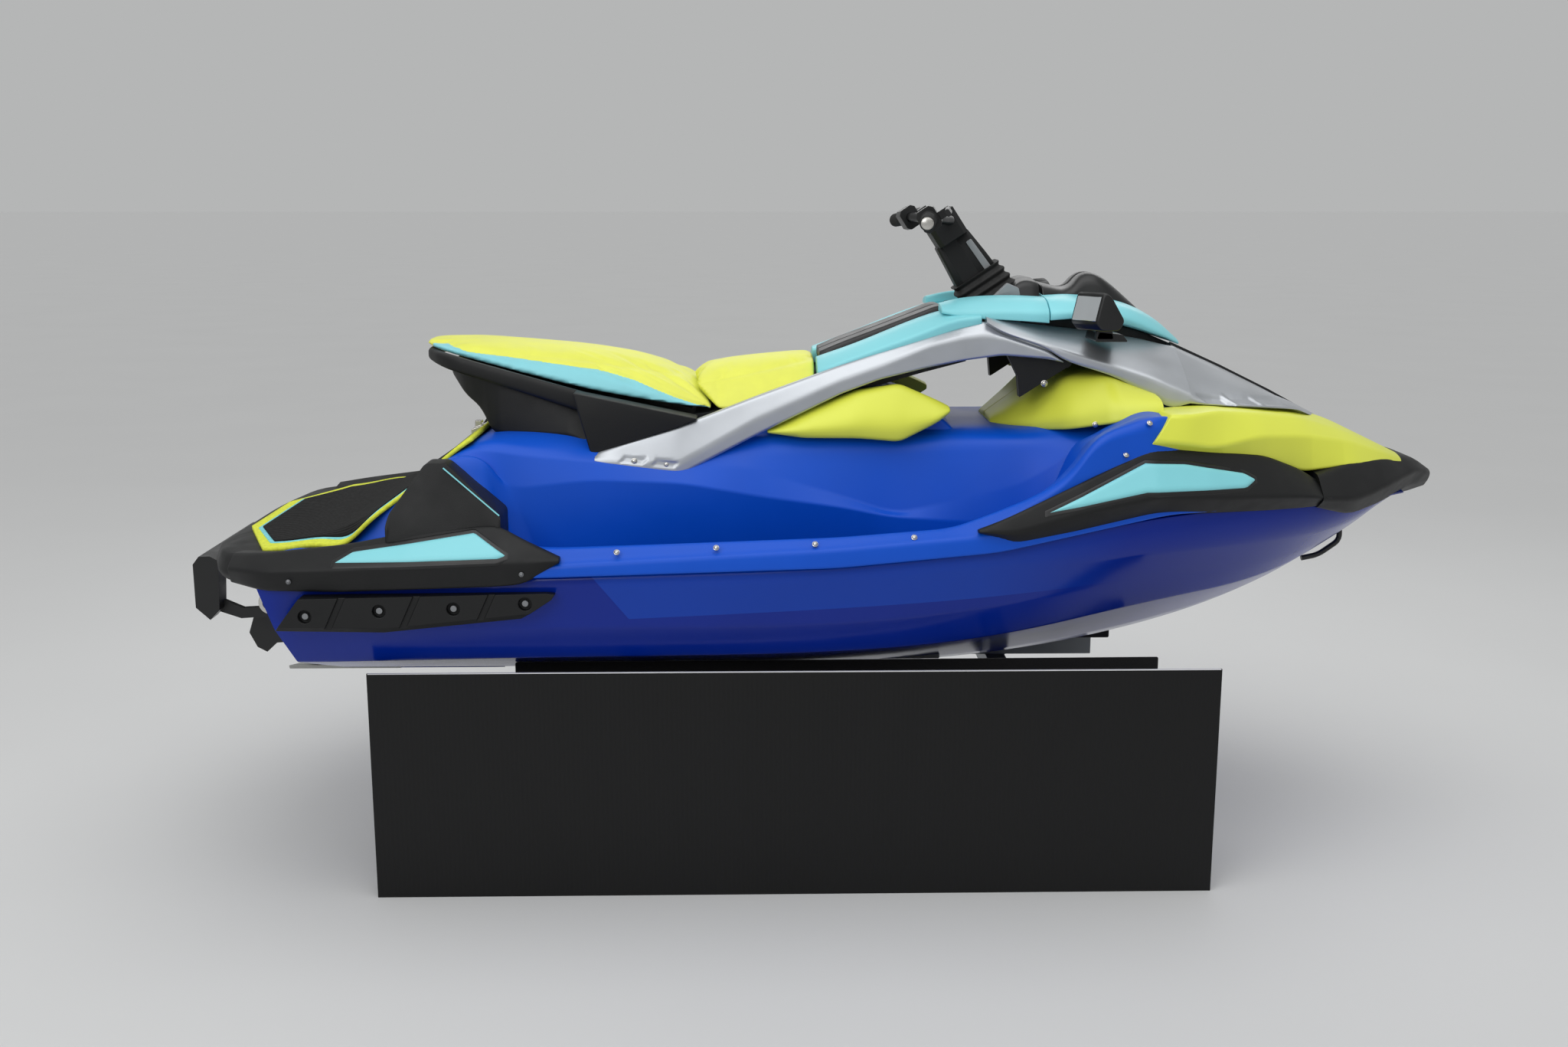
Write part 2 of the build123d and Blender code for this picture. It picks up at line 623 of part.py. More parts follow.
# ---------------------------------------------------------------- steering
steering_base = (345, 1300)
steering_lean = (-0.55, 0.835)
steering_plane = Plane(origin=(along(steering_base[0]), 0, up(steering_base[1])),
                       x_dir=(steering_lean[1], 0, -steering_lean[0]),
                       z_dir=(steering_lean[0], 0, steering_lean[1]))
pedestal_depth = 62.0
shaft_radius = 14.0         # steering shaft
shaft_reach = 30.0          # into the column
bar_radius = 11.0
neck_height = 120.0
head_height = 66.0
bar_height = neck_height + 45
grip_radius = 17.0

with BuildPart() as steering_pedestal:
    with BuildSketch(steering_plane.offset(-pedestal_depth)):
        Rectangle(120, 104)
        chamfer(vertices(), 18)
    with BuildSketch(steering_plane.offset(-running_gap)):
        Rectangle(88, 80)
        chamfer(vertices(), 18)
    loft(ruled=True)
    # steering shaft that the column turns on
    with Locations(steering_plane):
        Cylinder(shaft_radius, shaft_reach, align=(Align.CENTER, Align.CENTER, Align.MIN))
        Cylinder(shaft_radius, 2 * running_gap)
    add([dash.part, upper_frame.part, hood_frame.part, tank_panels.part, hood_sides.part,
         glovebox_lid.part], mode=Mode.SUBTRACT)
finish(steering_pedestal, "steering_pedestal")

grip_length = 125.0
grip_end = (-47, 375, bar_height + 42)
bar_bend = (-21, 188, bar_height + 36)
bar_middle = (24, 84, bar_height)


def bar_path():
    half = [grip_end, bar_bend, bar_middle]
    other = [(p[0], -p[1], p[2]) for p in reversed(half)]
    return [steering_plane.from_local_coords(p) for p in half + other]


with BuildPart() as handlebar:
    with BuildLine() as path:
        FilletPolyline(*bar_path(), radius=40)
    with BuildSketch(Plane(origin=path.line @ 0, z_dir=path.line % 0)):
        Circle(bar_radius)
    sweep()
finish(handlebar, "handlebar")

with BuildPart() as steering_column:
    with BuildSketch(steering_plane):
        Rectangle(76, 70)
        chamfer(vertices(), 16)
    with BuildSketch(steering_plane.offset(neck_height)):
        Rectangle(62, 64)
        chamfer(vertices(), 14)
    loft(ruled=True)
    # head that clamps the bar
    with BuildSketch(steering_plane.offset(neck_height)):
        with Locations((12, 0)):
            Rectangle(74, 120)
        chamfer(vertices(), 11)
    extrude(amount=head_height)
    with Locations(steering_plane):
        Cylinder(shaft_radius + pin_clearance, 2 * (shaft_reach + running_gap), mode=Mode.SUBTRACT)
    # the bar's straight middle runs through the head
    with Locations(Plane(origin=steering_plane.from_local_coords((bar_middle[0], 0, bar_height)),
                         z_dir=(0, 1, 0))):
        Cylinder(bar_radius + pin_clearance, 2 * bar_middle[1], mode=Mode.SUBTRACT)
finish(steering_column, "steering_column")


def grip_plane(side):
    # at the outer end of the bar, looking inboard along it
    end = steering_plane.from_local_coords((grip_end[0], side * grip_end[1], grip_end[2]))
    bend = steering_plane.from_local_coords((bar_bend[0], side * bar_bend[1], bar_bend[2]))
    return Plane(origin=end, x_dir=steering_plane.z_dir, z_dir=bend - end)


with BuildPart() as grips:
    for side in (1, -1):
        with BuildSketch(grip_plane(side).offset(-4)):
            Circle(grip_radius + 2)
        extrude(amount=6)
        with BuildSketch(grip_plane(side).offset(2)):
            Circle(grip_radius)
        extrude(amount=grip_length)
        with BuildSketch(grip_plane(side)):
            Circle(bar_radius + pin_clearance)
        extrude(amount=grip_length + 2, mode=Mode.SUBTRACT)
finish(grips, "grips")

with BuildPart() as bar_ends:
    for side in (1, -1):
        with Locations(grip_plane(side).offset(-22)):
            Cone(grip_radius - 3, grip_radius + 1, 18, align=(Align.CENTER, Align.CENTER, Align.MIN))
finish(bar_ends, "bar_ends")

with BuildPart() as switch_housings:
    for side in (1, -1):
        with BuildSketch(grip_plane(side).offset(grip_length + 4)):
            Rectangle(52, 44)
            chamfer(vertices(), 8)
            Circle(bar_radius + pin_clearance, mode=Mode.SUBTRACT)
        extrude(amount=44)
finish(switch_housings, "switch_housings")

lever_reach = 46.0
with BuildPart() as control_levers:
    for side in (1, -1):
        with BuildSketch(grip_plane(side).offset(24)):
            with Locations((-6, -side * lever_reach)):
                Rectangle(16, 10)
            chamfer(vertices(), 2.5)
        extrude(amount=grip_length - 11)
        with BuildSketch(grip_plane(side).offset(grip_length + 10)):
            with Locations((-6, -side * (lever_reach - 11))):
                Rectangle(18, 28)
        extrude(amount=24)
    add(switch_housings.part, mode=Mode.SUBTRACT)
finish(control_levers, "control_levers")

# ---------------------------------------------------------------- seats
with BuildPart() as seat_support:
    panels([full_station(x, half) for x, half in (
        (-846, [(0, 1108), (130, 1112), (160, 1142), (0, 1150)]),
        (-815, [(0, 1066), (160, 1070), (190, 1134), (0, 1142)]),
        (-775, [(0, 1040), (180, 1046), (206, 1120), (0, 1130)]),
        (-745, [(0, 984), (200, 984), (214, 1110), (0, 1122)]),
        (-560, [(0, 990), (262, 990), (226, 1060), (0, 1076)]),
        (-520, [(0, 990), (276, 955), (228, 1050), (0, 1066)]),
        (-300, [(0, 1000), (236, 1000), (220, 1012), (0, 1016)]),
    )])
    add([deck.part, arches.part, upper_frame.part], mode=Mode.SUBTRACT)
finish(seat_support, "seat_support")

with BuildPart() as seat_rear:
    panels([full_station(x, half) for x, half in (
        (-916, [(0, 1168), (70, 1172), (60, 1184), (0, 1188)]),
        (-870, [(0, 1156), (150, 1162), (150, 1184), (0, 1192)]),
        (-720, [(0, 1128), (204, 1128), (176, 1164), (0, 1174)]),
        (-560, [(0, 1086), (216, 1088), (180, 1142), (0, 1164)]),
        (-400, [(0, 1046), (222, 1052), (160, 1128), (0, 1152)]),
        (-322, [(0, 1034), (224, 1038), (150, 1102), (0, 1118)]),
    )])
    add([seat_support.part, arches.part, upper_frame.part], mode=Mode.SUBTRACT)
finish(seat_rear, "seat_rear")

with BuildPart() as seat_front:
    panels([full_station(x, half) for x, half in (
        (-319, [(0, 1034.3), (222, 1034.3), (148, 1100), (0, 1116)]),
        (-248, [(0, 1036.3), (216, 1036.3), (140, 1112), (0, 1126)]),
        (-145, [(0, 1068.3), (210, 1068.3), (126, 1130), (0, 1144)]),
        (-40, [(0, 1100.9), (206, 1100.9), (110, 1148), (0, 1156)]),
        (-30, [(0, 1104), (200, 1104), (104, 1146), (0, 1152)]),
    )])
    add([seat_rear.part, seat_support.part, arches.part, upper_frame.part, tank_panels.part,
         glovebox_lid.part], mode=Mode.SUBTRACT)
finish(seat_front, "seat_front")

handle_slope = [(-912, 1146), (-906, 1166), (-857, 1168), (-709, 1130), (-547, 1088), (-547, 1036), (-617, 1070),
                (-711, 1086), (-826, 1122), (-899, 1140)]
with BuildPart() as grab_handle:
    side_slab(handle_slope, -260, 260)
    plan_slab([(-912, -90), (-912, 90), (-890, 168), (-836, 214), (-700, 244), (-547, 250), (-547, -250),
               (-700, -244), (-836, -214), (-890, -168)], 1000, 1200, mode=Mode.INTERSECT)
    plan_slab([(-884, -80), (-884, 80), (-868, 140), (-820, 186), (-700, 214), (-547, 222), (-547, -222),
               (-700, -214), (-820, -186), (-868, -140)], 1000, 1200, mode=Mode.SUBTRACT)
    add([seat_support.part, seat_rear.part, deck.part], mode=Mode.SUBTRACT)
finish(grab_handle, "grab_handle")

# ---------------------------------------------------------------- rear deck
with BuildPart() as foot_chocks:
    side_slab([(-929, 790), (-929, 836), (-922, 861), (-850, 962), (-808, 962), (-690, 856), (-690, 790)],
              392, 506)
    with BuildPart(mode=Mode.PRIVATE) as slope:
        panels([station(x, [(440, 1000), (600, 1000), (600, 800), (516, 800)]) for x in (-960, -660)])
    add(slope.part, mode=Mode.SUBTRACT)
    mirror(about=Plane.XZ)
    add([deck.part, rear_bumpers.part, bumper_inserts.part], mode=Mode.SUBTRACT)
finish(foot_chocks, "foot_chocks")

mat_thickness = 6.0
ramp_line = [(-1224, 750), (-1050, 790), (-905, 885), (-828, 956)]
mat_plan = [(-1224, -300), (-1224, 300), (-1190, 366), (-1040, 380), (-960, 372), (-828, 300), (-828, -300),
            (-960, -372), (-1040, -380), (-1190, -366)]


def draped(line, low, high):
    # a band that follows the ramp between two heights over it
    return [(x, z + low) for x, z in line] + [(x, z + high) for x, z in reversed(line)]


with BuildPart() as deck_mat:
    side_slab(draped(ramp_line, -4, mat_thickness), -400, 400)
    plan_slab(mat_plan, 700, 1100, mode=Mode.INTERSECT)
    add([deck.part, rear_bumpers.part, stern_bumper.part, foot_chocks.part], mode=Mode.SUBTRACT)
finish(deck_mat, "deck_mat")

with BuildPart() as deck_mat_top:
    side_slab(draped(ramp_line, mat_thickness, mat_thickness + 4), -400, 400)
    plan_slab([(-1206, -276), (-1206, 276), (-1174, 338), (-1044, 350), (-968, 342), (-846, 276), (-846, -276),
               (-968, -342), (-1044, -350), (-1174, -338)], 700, 1100, mode=Mode.INTERSECT)
    add([deck.part, deck_mat.part], mode=Mode.SUBTRACT)
finish(deck_mat_top, "deck_mat_top")

with BuildPart() as footwell_mats:
    side_slab([(-590, footwell_floor), (-590, footwell_floor + 6), (290, footwell_floor + 6),
               (290, footwell_floor)], 310, 425)
    mirror(about=Plane.XZ)
    add(deck.part, mode=Mode.SUBTRACT)
finish(footwell_mats, "footwell_mats")

with BuildPart() as tow_hook:
    side_slab([(-828, 950), (-828, 972), (-792, 984), (-776, 984), (-776, 966)], -30, 30)
    side_slab([(-822, 962), (-822, 990), (-806, 990), (-806, 962)], -12, 12)
    add(deck.part, mode=Mode.SUBTRACT)
    add(deck_mat.part, mode=Mode.SUBTRACT)
finish(tow_hook, "tow_hook")

# ---------------------------------------------------------------- hull fittings
sponson_face = 546.0
bolt_recess = 12.0
bolt_places = [(-1091, 657), (-939, 668), (-787, 672), (-640, 682)]
rib_places = [-1040, -888, -736]
recess_floor = Plane.XZ.offset(bolt_recess - across(sponson_face))

with BuildPart() as sponsons:
    side_slab([(-1156, 624), (-1103, 694), (-596, 704), (-578, 702), (-586, 690), (-650, 648), (-797, 633),
               (-933, 620)], 470, sponson_face)
    chamfer(edges().filter_by(GeomType.LINE).group_by(Axis.Y)[-1].sort_by(Axis.Z)[:3], 12)
    with BuildSketch(recess_floor) as recesses:
        with Locations(*side_points(bolt_places)):
            RegularPolygon(14, 12)
    extrude(recesses.sketch, amount=2 * bolt_recess, dir=(0, 1, 0), mode=Mode.SUBTRACT)
    # slanting grooves between the bolts
    for x in rib_places:
        side_slab([(x - 26, 600), (x - 12, 600), (x + 44, 720), (x + 30, 720)], sponson_face - 5,
                  sponson_face + 5, mode=Mode.SUBTRACT)
    mirror(about=Plane.XZ)
    add([hull.part, rear_bumpers.part], mode=Mode.SUBTRACT)
finish(sponsons, "sponsons")

with BuildPart() as sponson_bolts:
    with BuildSketch(recess_floor) as heads:
        with Locations(*side_points(bolt_places)):
            RegularPolygon(7, 12)
    extrude(heads.sketch, amount=8, dir=(0, 1, 0))
    mirror(about=Plane.XZ)
finish(sponson_bolts, "sponson_bolts")

eye_radius = 16.0
eye_wire = 9.0


def eye(x, y, z):
    with BuildSketch(Plane.XZ.offset(-across(y) + eye_wire / 2)) as ring:
        with Locations((along(x), up(z))):
            Circle(eye_radius + eye_wire)
            Circle(eye_radius, mode=Mode.SUBTRACT)
    extrude(ring.sketch, amount=eye_wire, dir=(0, 1, 0))


with BuildPart() as stern_eyes:
    eye(-1203, 400, 652)
    eye(-1203, -400, 652)
    add(hull.part, mode=Mode.SUBTRACT)
finish(stern_eyes, "stern_eyes")

with BuildPart() as bow_eye:
    eye(1206, 0, 672)
    add(hull.part, mode=Mode.SUBTRACT)
finish(bow_eye, "bow_eye")

# ---------------------------------------------------------------- jet pump
nozzle_x = along(-1222)     # pivots of the nozzle and the bucket
nozzle_swing = 28.0         # pivot to the pump's mouth
pump_length = 210.0
pump_mouth = nozzle_x + nozzle_swing
nozzle_radius = pump_radius - 8
nozzle_wall = 7.0
nozzle_length = 70.0
ear_thickness = 8.0
ear_radius = 13.0
plate_inner = pump_radius + 18          # bucket side plates
plate_outer = plate_inner + 7
nozzle_ear_outer = pump_radius + 10
boss_radius = 14.0
bucket_pin = 6.0
nozzle_pin = 5.0
stator_hub = 24.0
stator_start = pump_mouth + 27
blade_reach = 40.0
blade_chord = 60.0
blade_count = 4
impeller_x = pump_mouth + 130
tip_gap = 0.8


def ring_along(x_from, x_to, outer, inner=0.0):
    with BuildSketch(Plane.YZ.offset(x_from)) as annulus:
        with Locations((0, shaft_line)):
            Circle(outer)
            if inner > 0:
                Circle(inner, mode=Mode.SUBTRACT)
    extrude(annulus.sketch, amount=x_to - x_from, dir=(1, 0, 0))


def pump_ear(turn, ear_inner, ear_outer, pin, pin_from, pin_to):
    # an ear astern of the pump's mouth with a pin through its eye; turn 0 is to port, 90 above
    face = Plane(origin=(nozzle_x, 0, shaft_line), x_dir=(1, 0, 0), z_dir=(0, 1, 0)).rotated((turn, 0, 0))
    with BuildSketch(face.offset(ear_inner)) as ear:
        Rectangle(2 * nozzle_swing, 2 * ear_radius, align=(Align.MIN, Align.CENTER))
        Circle(ear_radius)
    extrude(ear.sketch, amount=ear_outer - ear_inner, dir=face.z_dir)
    with BuildSketch(face.offset(pin_from)) as pin_end:
        Circle(pin)
    extrude(pin_end.sketch, amount=pin_to - pin_from, dir=face.z_dir)


with BuildPart() as pump_housing:
    ring_along(pump_mouth, pump_mouth + pump_length, pump_radius + pump_wall, pump_radius)
    # flange that fills the tunnel
    ring_along(pump_mouth + pump_length - 25, pump_mouth + pump_length, tunnel_half - 0.1,
               pump_radius + pump_wall - 1)
    # straightening vanes on a hub that carries the impeller's end
    ring_along(stator_start, impeller_x - blade_reach - running_gap, stator_hub)
    with BuildSketch(Plane.YZ.offset(stator_start)) as vanes:
        with Locations((0, shaft_line)):
            with PolarLocations(0, 6):
                Rectangle(pump_radius + 2, 5, align=(Align.MIN, Align.CENTER))
    extrude(vanes.sketch, amount=50, dir=(1, 0, 0))
    for turn in (0, 180):
        pump_ear(turn, pump_radius + 5, plate_inner - running_gap, bucket_pin, plate_inner - 2, plate_outer + 4)
    for turn in (90, 270):
        pump_ear(turn, nozzle_ear_outer - ear_thickness, nozzle_ear_outer, nozzle_pin, nozzle_radius - 4,
                 nozzle_ear_outer - 1)
finish(pump_housing, "pump_housing")

def blade_section(outward, reach, pitch, thickness):
    # the corners of a blade at a reach from the shaft: its pitch grows from root to tip
    chord = Vector(1, 0, 0).rotate(Axis((0, 0, 0), outward), pitch) * blade_chord / 2
    face = outward.cross(chord).normalized() * thickness / 2
    middle = Vector(impeller_x, 0, shaft_line) + outward * reach
    return [middle + chord + face, middle - chord + face, middle - chord - face, middle + chord - face]


with BuildPart() as impeller:
    ring_along(impeller_x - blade_reach, impeller_x + blade_reach, stator_hub - 2)
    for blade in range(blade_count):
        outward = Vector(0, 1, 0).rotate(Axis.X, 360 / blade_count * blade)
        panels([blade_section(outward, stator_hub - 9, 35, 5), blade_section(outward, pump_radius / 2, 44, 4.5),
                blade_section(outward, pump_radius + 4, 56, 4)])
    with Locations(Plane(origin=(impeller_x, 0, shaft_line), z_dir=(1, 0, 0))):
        Cylinder(pump_radius - tip_gap, 120, mode=Mode.INTERSECT)
    # shaft to the tunnel's front wall
    ring_along(impeller_x + blade_reach, tunnel_front - running_gap, 14)
finish(impeller, "impeller")


def nozzle_cone(exit_radius, mouth_radius, mode=Mode.ADD):
    with Locations(Plane(origin=(nozzle_x - nozzle_length, 0, shaft_line), z_dir=(1, 0, 0))):
        Cone(exit_radius, mouth_radius, nozzle_length + nozzle_swing - 10,
             align=(Align.CENTER, Align.CENTER, Align.MIN), mode=mode)


with BuildPart() as steering_nozzle:
    nozzle_cone(nozzle_radius - 22, nozzle_radius)
    # bosses above and below, bored for the pivot pins
    for way in (1, -1):
        with BuildSketch(Plane.XY.offset(shaft_line)) as boss:
            with Locations((nozzle_x, 0)):
                Circle(boss_radius)
        extrude(boss.sketch, amount=nozzle_ear_outer - ear_thickness - running_gap, dir=(0, 0, way))
    nozzle_cone(nozzle_radius - 28, nozzle_radius - nozzle_wall, mode=Mode.SUBTRACT)
    with Locations((nozzle_x, 0, shaft_line)):
        Cylinder(nozzle_pin + pin_clearance, 2 * nozzle_ear_outer, mode=Mode.SUBTRACT)
finish(steering_nozzle, "steering_nozzle")

bucket_cheek = [(16, -14), (16, 14), (-10, 26), (-80, 52), (-114, 48), (-128, 5), (-111, -30), (-89, -42),
                (-65, -20)]
bucket_bowl = [(-80, 52), (-114, 48), (-128, 5), (-111, -30), (-104, -27), (-120, 5), (-108, 41), (-80, 45)]
with BuildPart() as reverse_bucket:
    hung_slab((nozzle_x, shaft_line), bucket_cheek, plate_inner, plate_outer)
    with Locations(Plane(origin=(nozzle_x, 0, shaft_line), z_dir=(0, 1, 0))):
        Cylinder(bucket_pin + pin_clearance, 4 * plate_outer, mode=Mode.SUBTRACT)
    mirror(about=Plane.XZ)
    hung_slab((nozzle_x, shaft_line), bucket_bowl, -plate_inner - 1, plate_inner + 1)
finish(reverse_bucket, "reverse_bucket")

plate_half = tunnel_half + 17
vee_slope = (hull_lines[1][2][1] - hull_lines[1][1]) / across(hull_lines[1][2][0])
plate_edge = up(hull_lines[1][1]) + vee_slope * plate_half
with BuildPart() as ride_plate:
    panels([[Vector(x, 0, up(392)), Vector(x, plate_half, plate_edge - 3),
             Vector(x, plate_half + 4, plate_edge + 6), Vector(x, 0, up(404)),
             Vector(x, -plate_half - 4, plate_edge + 6), Vector(x, -plate_half, plate_edge - 3)]
            for x in (along(-1257), along(-1000))])
    add([hull.part, pump_housing.part], mode=Mode.SUBTRACT)
finish(ride_plate, "ride_plate")

grate_bars = 5
grate_pitch = 2 * tunnel_half / grate_bars
with BuildPart() as intake_grate:
    with BuildSketch(Plane.XY.offset(up(420))):
        with Locations((along(-810), 0)):
            Rectangle(along(340), 2 * tunnel_half)
            with GridLocations(0, grate_pitch, 1, grate_bars):
                Rectangle(along(300), grate_pitch - 9, mode=Mode.SUBTRACT)
    extrude(amount=10)
    add([hull.part, ride_plate.part, pump_housing.part], mode=Mode.SUBTRACT)
finish(intake_grate, "intake_grate")

# ---------------------------------------------------------------- boarding step
step_height = up(575)       # of its hinge pins
step_pivot = (along(-1366) + 144, step_height)      # the folded tread clears the stern bumper
step_root = transom_at(step_height) - step_pivot[0] + 10
step_arm_y = 158.0
step_arm = 16.0
step_half = 200.0
step_pin = 5.0
cheek_offset = 14.0
cheek_thickness = 8.0
step_tread = [(-213, 15), (-213, 115), (-199, 133), (-174, 134), (-158, 125), (-156, 78), (-160, 9), (-182, -14)]
step_opening = [(-220, -40), (-220, 87), (-138, 87), (-138, -40)]
step_arm_side = [(0, -11), (12, 0), (0, 11), (-118, 5), (-163, 25), (-178, 0), (-123, -19)]
step_cheek_side = [(step_root, -35), (step_root, 37), (0, 19), (-18, 0), (0, -19)]

with BuildPart() as boarding_step:
    hung_slab(step_pivot, step_tread, -step_half, step_half)
    # open between its arms, below the tread
    hung_slab(step_pivot, step_opening, -step_half + 50, step_half - 50, mode=Mode.SUBTRACT)
    for side in (1, -1):
        hung_slab(step_pivot, step_arm_side, side * step_arm_y - step_arm / 2, side * step_arm_y + step_arm / 2)
    with Locations(Plane(origin=(step_pivot[0], 0, step_pivot[1]), z_dir=(0, 1, 0))):
        Cylinder(step_pin + pin_clearance, 3 * step_half, mode=Mode.SUBTRACT)
finish(boarding_step, "boarding_step")

with BuildPart() as step_brackets:
    for side in (1, -1):
        for cheek in (-cheek_offset, cheek_offset):
            middle = side * step_arm_y + cheek
            hung_slab(step_pivot, step_cheek_side, middle - cheek_thickness / 2, middle + cheek_thickness / 2)
        with Locations(Plane(origin=(step_pivot[0], side * step_arm_y, step_pivot[1]), z_dir=(0, 1, 0))):
            Cylinder(step_pin, 2 * cheek_offset)
    add(hull.part, mode=Mode.SUBTRACT)
finish(step_brackets, "step_brackets")

# ---------------------------------------------------------------- stand
bunk_width = 110.0
bunk_centre = 245.0
bunk_length = 1440.0
bunk_x = 17.0
bunk_bottom = keel_lift + 10
bunk_depth = 130.0
tube = 50.0
frame_x = 450.0
brace_height = 90.0
foot_size = 120.0
foot_thickness = 8.0
board_reach = 450.0         # centreline to the board's back
board_length = 1829.0
board_height = keel_lift + 118
board_thickness = 5.0
board_return = 100.0
board_x = -80.0

with BuildPart() as bunks:
    with Locations((bunk_x, bunk_centre, bunk_bottom)):
        Box(bunk_length, bunk_width, bunk_depth, align=(Align.CENTER, Align.CENTER, Align.MIN))
    mirror(about=Plane.XZ)
    # flat tops under the planing surface
    with BuildPart(mode=Mode.PRIVATE) as above:
        panels([station(x, [(0, 392), (130, 429.7), (430, 539.7), (430, 700), (0, 700)]) for x in (-1000, 1000)])
        mirror(about=Plane.XZ)
    add([above.part, hull.part], mode=Mode.SUBTRACT)
finish(bunks, "bunks")

with BuildPart() as stand_frame:
    for side in (1, -1):
        with Locations((bunk_x, side * bunk_centre, bunk_bottom - tube / 2)):
            Box(bunk_length - 80, tube, tube)
    for end in (1, -1):
        with Locations((end * frame_x, 0, bunk_bottom - 1.5 * tube)):
            Box(tube, board_reach * 2, tube)
        with Locations((end * frame_x, 0, brace_height)):
            Box(tube, 2 * bunk_centre, tube)
        for side in (1, -1):
            with Locations((end * frame_x, side * bunk_centre, foot_thickness)):
                Box(tube, tube, bunk_bottom - 2 * tube - foot_thickness,
                    align=(Align.CENTER, Align.CENTER, Align.MIN))
            with Locations((end * frame_x, side * bunk_centre, 0)):
                Box(foot_size, foot_size, foot_thickness, align=(Align.CENTER, Align.CENTER, Align.MIN))
finish(stand_frame, "stand_frame")

# folded board that stands in front of the stand on the starboard side
with BuildPart() as skirt_board:
    with BuildSketch(Plane.XY):
        with Locations((board_x, -board_reach - board_thickness / 2)):
            Rectangle(board_length, board_thickness)
        with Locations((board_x, -board_reach - board_thickness)):
            with GridLocations(board_length - board_thickness, 0, 2, 1):
                Rectangle(board_thickness, board_return, align=(Align.CENTER, Align.MIN))
    extrude(amount=board_height)
    # the returns' tops slope away under the hull
    with BuildSketch(Plane.YZ.offset(board_x)) as slope:
        with BuildLine():
            Polyline((1 - board_reach, board_height), (board_return + 10 - board_reach, board_height - 60),
                     (board_return + 10 - board_reach, board_height + 10), (1 - board_reach, board_height + 10),
                     close=True)
        make_face()
    extrude(slope.sketch, amount=board_length, both=True, dir=(1, 0, 0), mode=Mode.SUBTRACT)
finish(skirt_board, "skirt_board")
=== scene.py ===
# Two-seat personal watercraft on its display stand, +X to the bow, +Y to port, +Z up, metres.
# Surfaces are numpy grids; sizes in the dictionaries are millimetres.
import bpy
import bmesh
import numpy as np
from math import radians, pi, sin, cos
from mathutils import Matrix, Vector


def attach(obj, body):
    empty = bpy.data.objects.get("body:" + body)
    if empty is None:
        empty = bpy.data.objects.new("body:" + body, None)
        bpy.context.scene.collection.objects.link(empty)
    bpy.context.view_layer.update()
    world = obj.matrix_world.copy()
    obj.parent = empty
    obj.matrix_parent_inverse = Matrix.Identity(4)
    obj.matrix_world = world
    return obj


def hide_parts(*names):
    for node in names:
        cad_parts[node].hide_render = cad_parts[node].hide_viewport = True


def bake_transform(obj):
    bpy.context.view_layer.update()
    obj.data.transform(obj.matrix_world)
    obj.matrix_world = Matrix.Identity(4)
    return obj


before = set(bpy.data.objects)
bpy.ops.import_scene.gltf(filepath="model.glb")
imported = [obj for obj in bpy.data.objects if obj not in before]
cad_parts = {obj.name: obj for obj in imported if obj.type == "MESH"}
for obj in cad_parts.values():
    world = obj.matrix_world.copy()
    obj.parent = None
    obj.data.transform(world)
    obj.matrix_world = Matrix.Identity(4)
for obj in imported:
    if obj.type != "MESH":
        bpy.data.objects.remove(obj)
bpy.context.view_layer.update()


def unit(vectors):
    return vectors / np.maximum(np.linalg.norm(vectors, axis=-1, keepdims=True), 1e-9)


def softened(points, reach, steps=5, loop=True):
    # a corner P between A and B becomes the arc (1-t)^2 S + 2t(1-t) P + t^2 E,
    # where S and E lie a reach from P towards A and towards B, halfway at most
    reach = np.asarray(reach, float)[..., None] / 1000

    def towards(other):
        gap = other - points
        length = np.maximum(np.linalg.norm(gap, axis=-1, keepdims=True), 1e-9)
        return points + gap * np.minimum(reach / length, 0.5)

    start, end = towards(np.roll(points, 1, -2)), towards(np.roll(points, -1, -2))
    t = np.linspace(0, 1, steps).reshape(-1, 1)
    arcs = ((1 - t) ** 2 * start[..., None, :] + 2 * t * (1 - t) * points[..., None, :]
            + t ** 2 * end[..., None, :])
    if loop:
        return arcs.reshape(*points.shape[:-2], -1, 3)
    middle = arcs[..., 1:-1, :, :].reshape(*points.shape[:-2], -1, 3)
    return np.concatenate([points[..., :1, :], middle, points[..., -1:, :]], axis=-2)


def faired(rings, reach, steps):
    # sections softened along their length
    return np.swapaxes(softened(np.swapaxes(rings, 0, 1), reach, steps, False), 0, 1)


def loft(rows, across=6, along=30, steps=5, stepsAlong=4):
    # sections (x, [(y, z), ...]) joined along x, softened along their length and round their corners
    rings = np.array([[(x, y, z) for y, z in corners] for x, corners in rows]) / 1000
    return softened(faired(rings, along, stepsAlong), across, steps)


def linesLoft(lines, stations, across, along, steps, stepsAlong=7):
    # body lines [(x, y, z), ...], each softened and read off at the stations, then joined across
    def line(points):
        curve = softened(np.array(points, float) / 1000, along, stepsAlong, False)
        return np.stack([stations, *(np.interp(stations, curve[:, 0], curve[:, axis]) for axis in (1, 2))], -1)
    return softened(np.stack([line(points) for points in lines], axis=1), across, steps, False)


def eased(rings, start=0, end=0):
    # the first and last sections of a closed loft draw in by a quarter-round of these radii
    def rounded(first, second, radius):
        span = np.linalg.norm(second.mean(0) - first.mean(0))
        ring = []
        for turn in (0, 0.35, 0.7, 1.1):
            along, inset = radius * (1 - cos(turn)), radius * (1 - sin(turn))
            place = first + (second - first) * min(along / span, 0.9)
            inward = place.mean(0) - place
            size = np.maximum(np.linalg.norm(inward, axis=-1, keepdims=True), 1e-9)
            ring.append(place + inward * np.minimum(inset / size, 0.6))
        return ring
    if start:
        rings = np.concatenate([rounded(rings[0], rings[1], start / 1000), rings[1:]])
    if end:
        rings = np.concatenate([rings[:-1], rounded(rings[-1], rings[-2], end / 1000)[::-1]])
    return rings


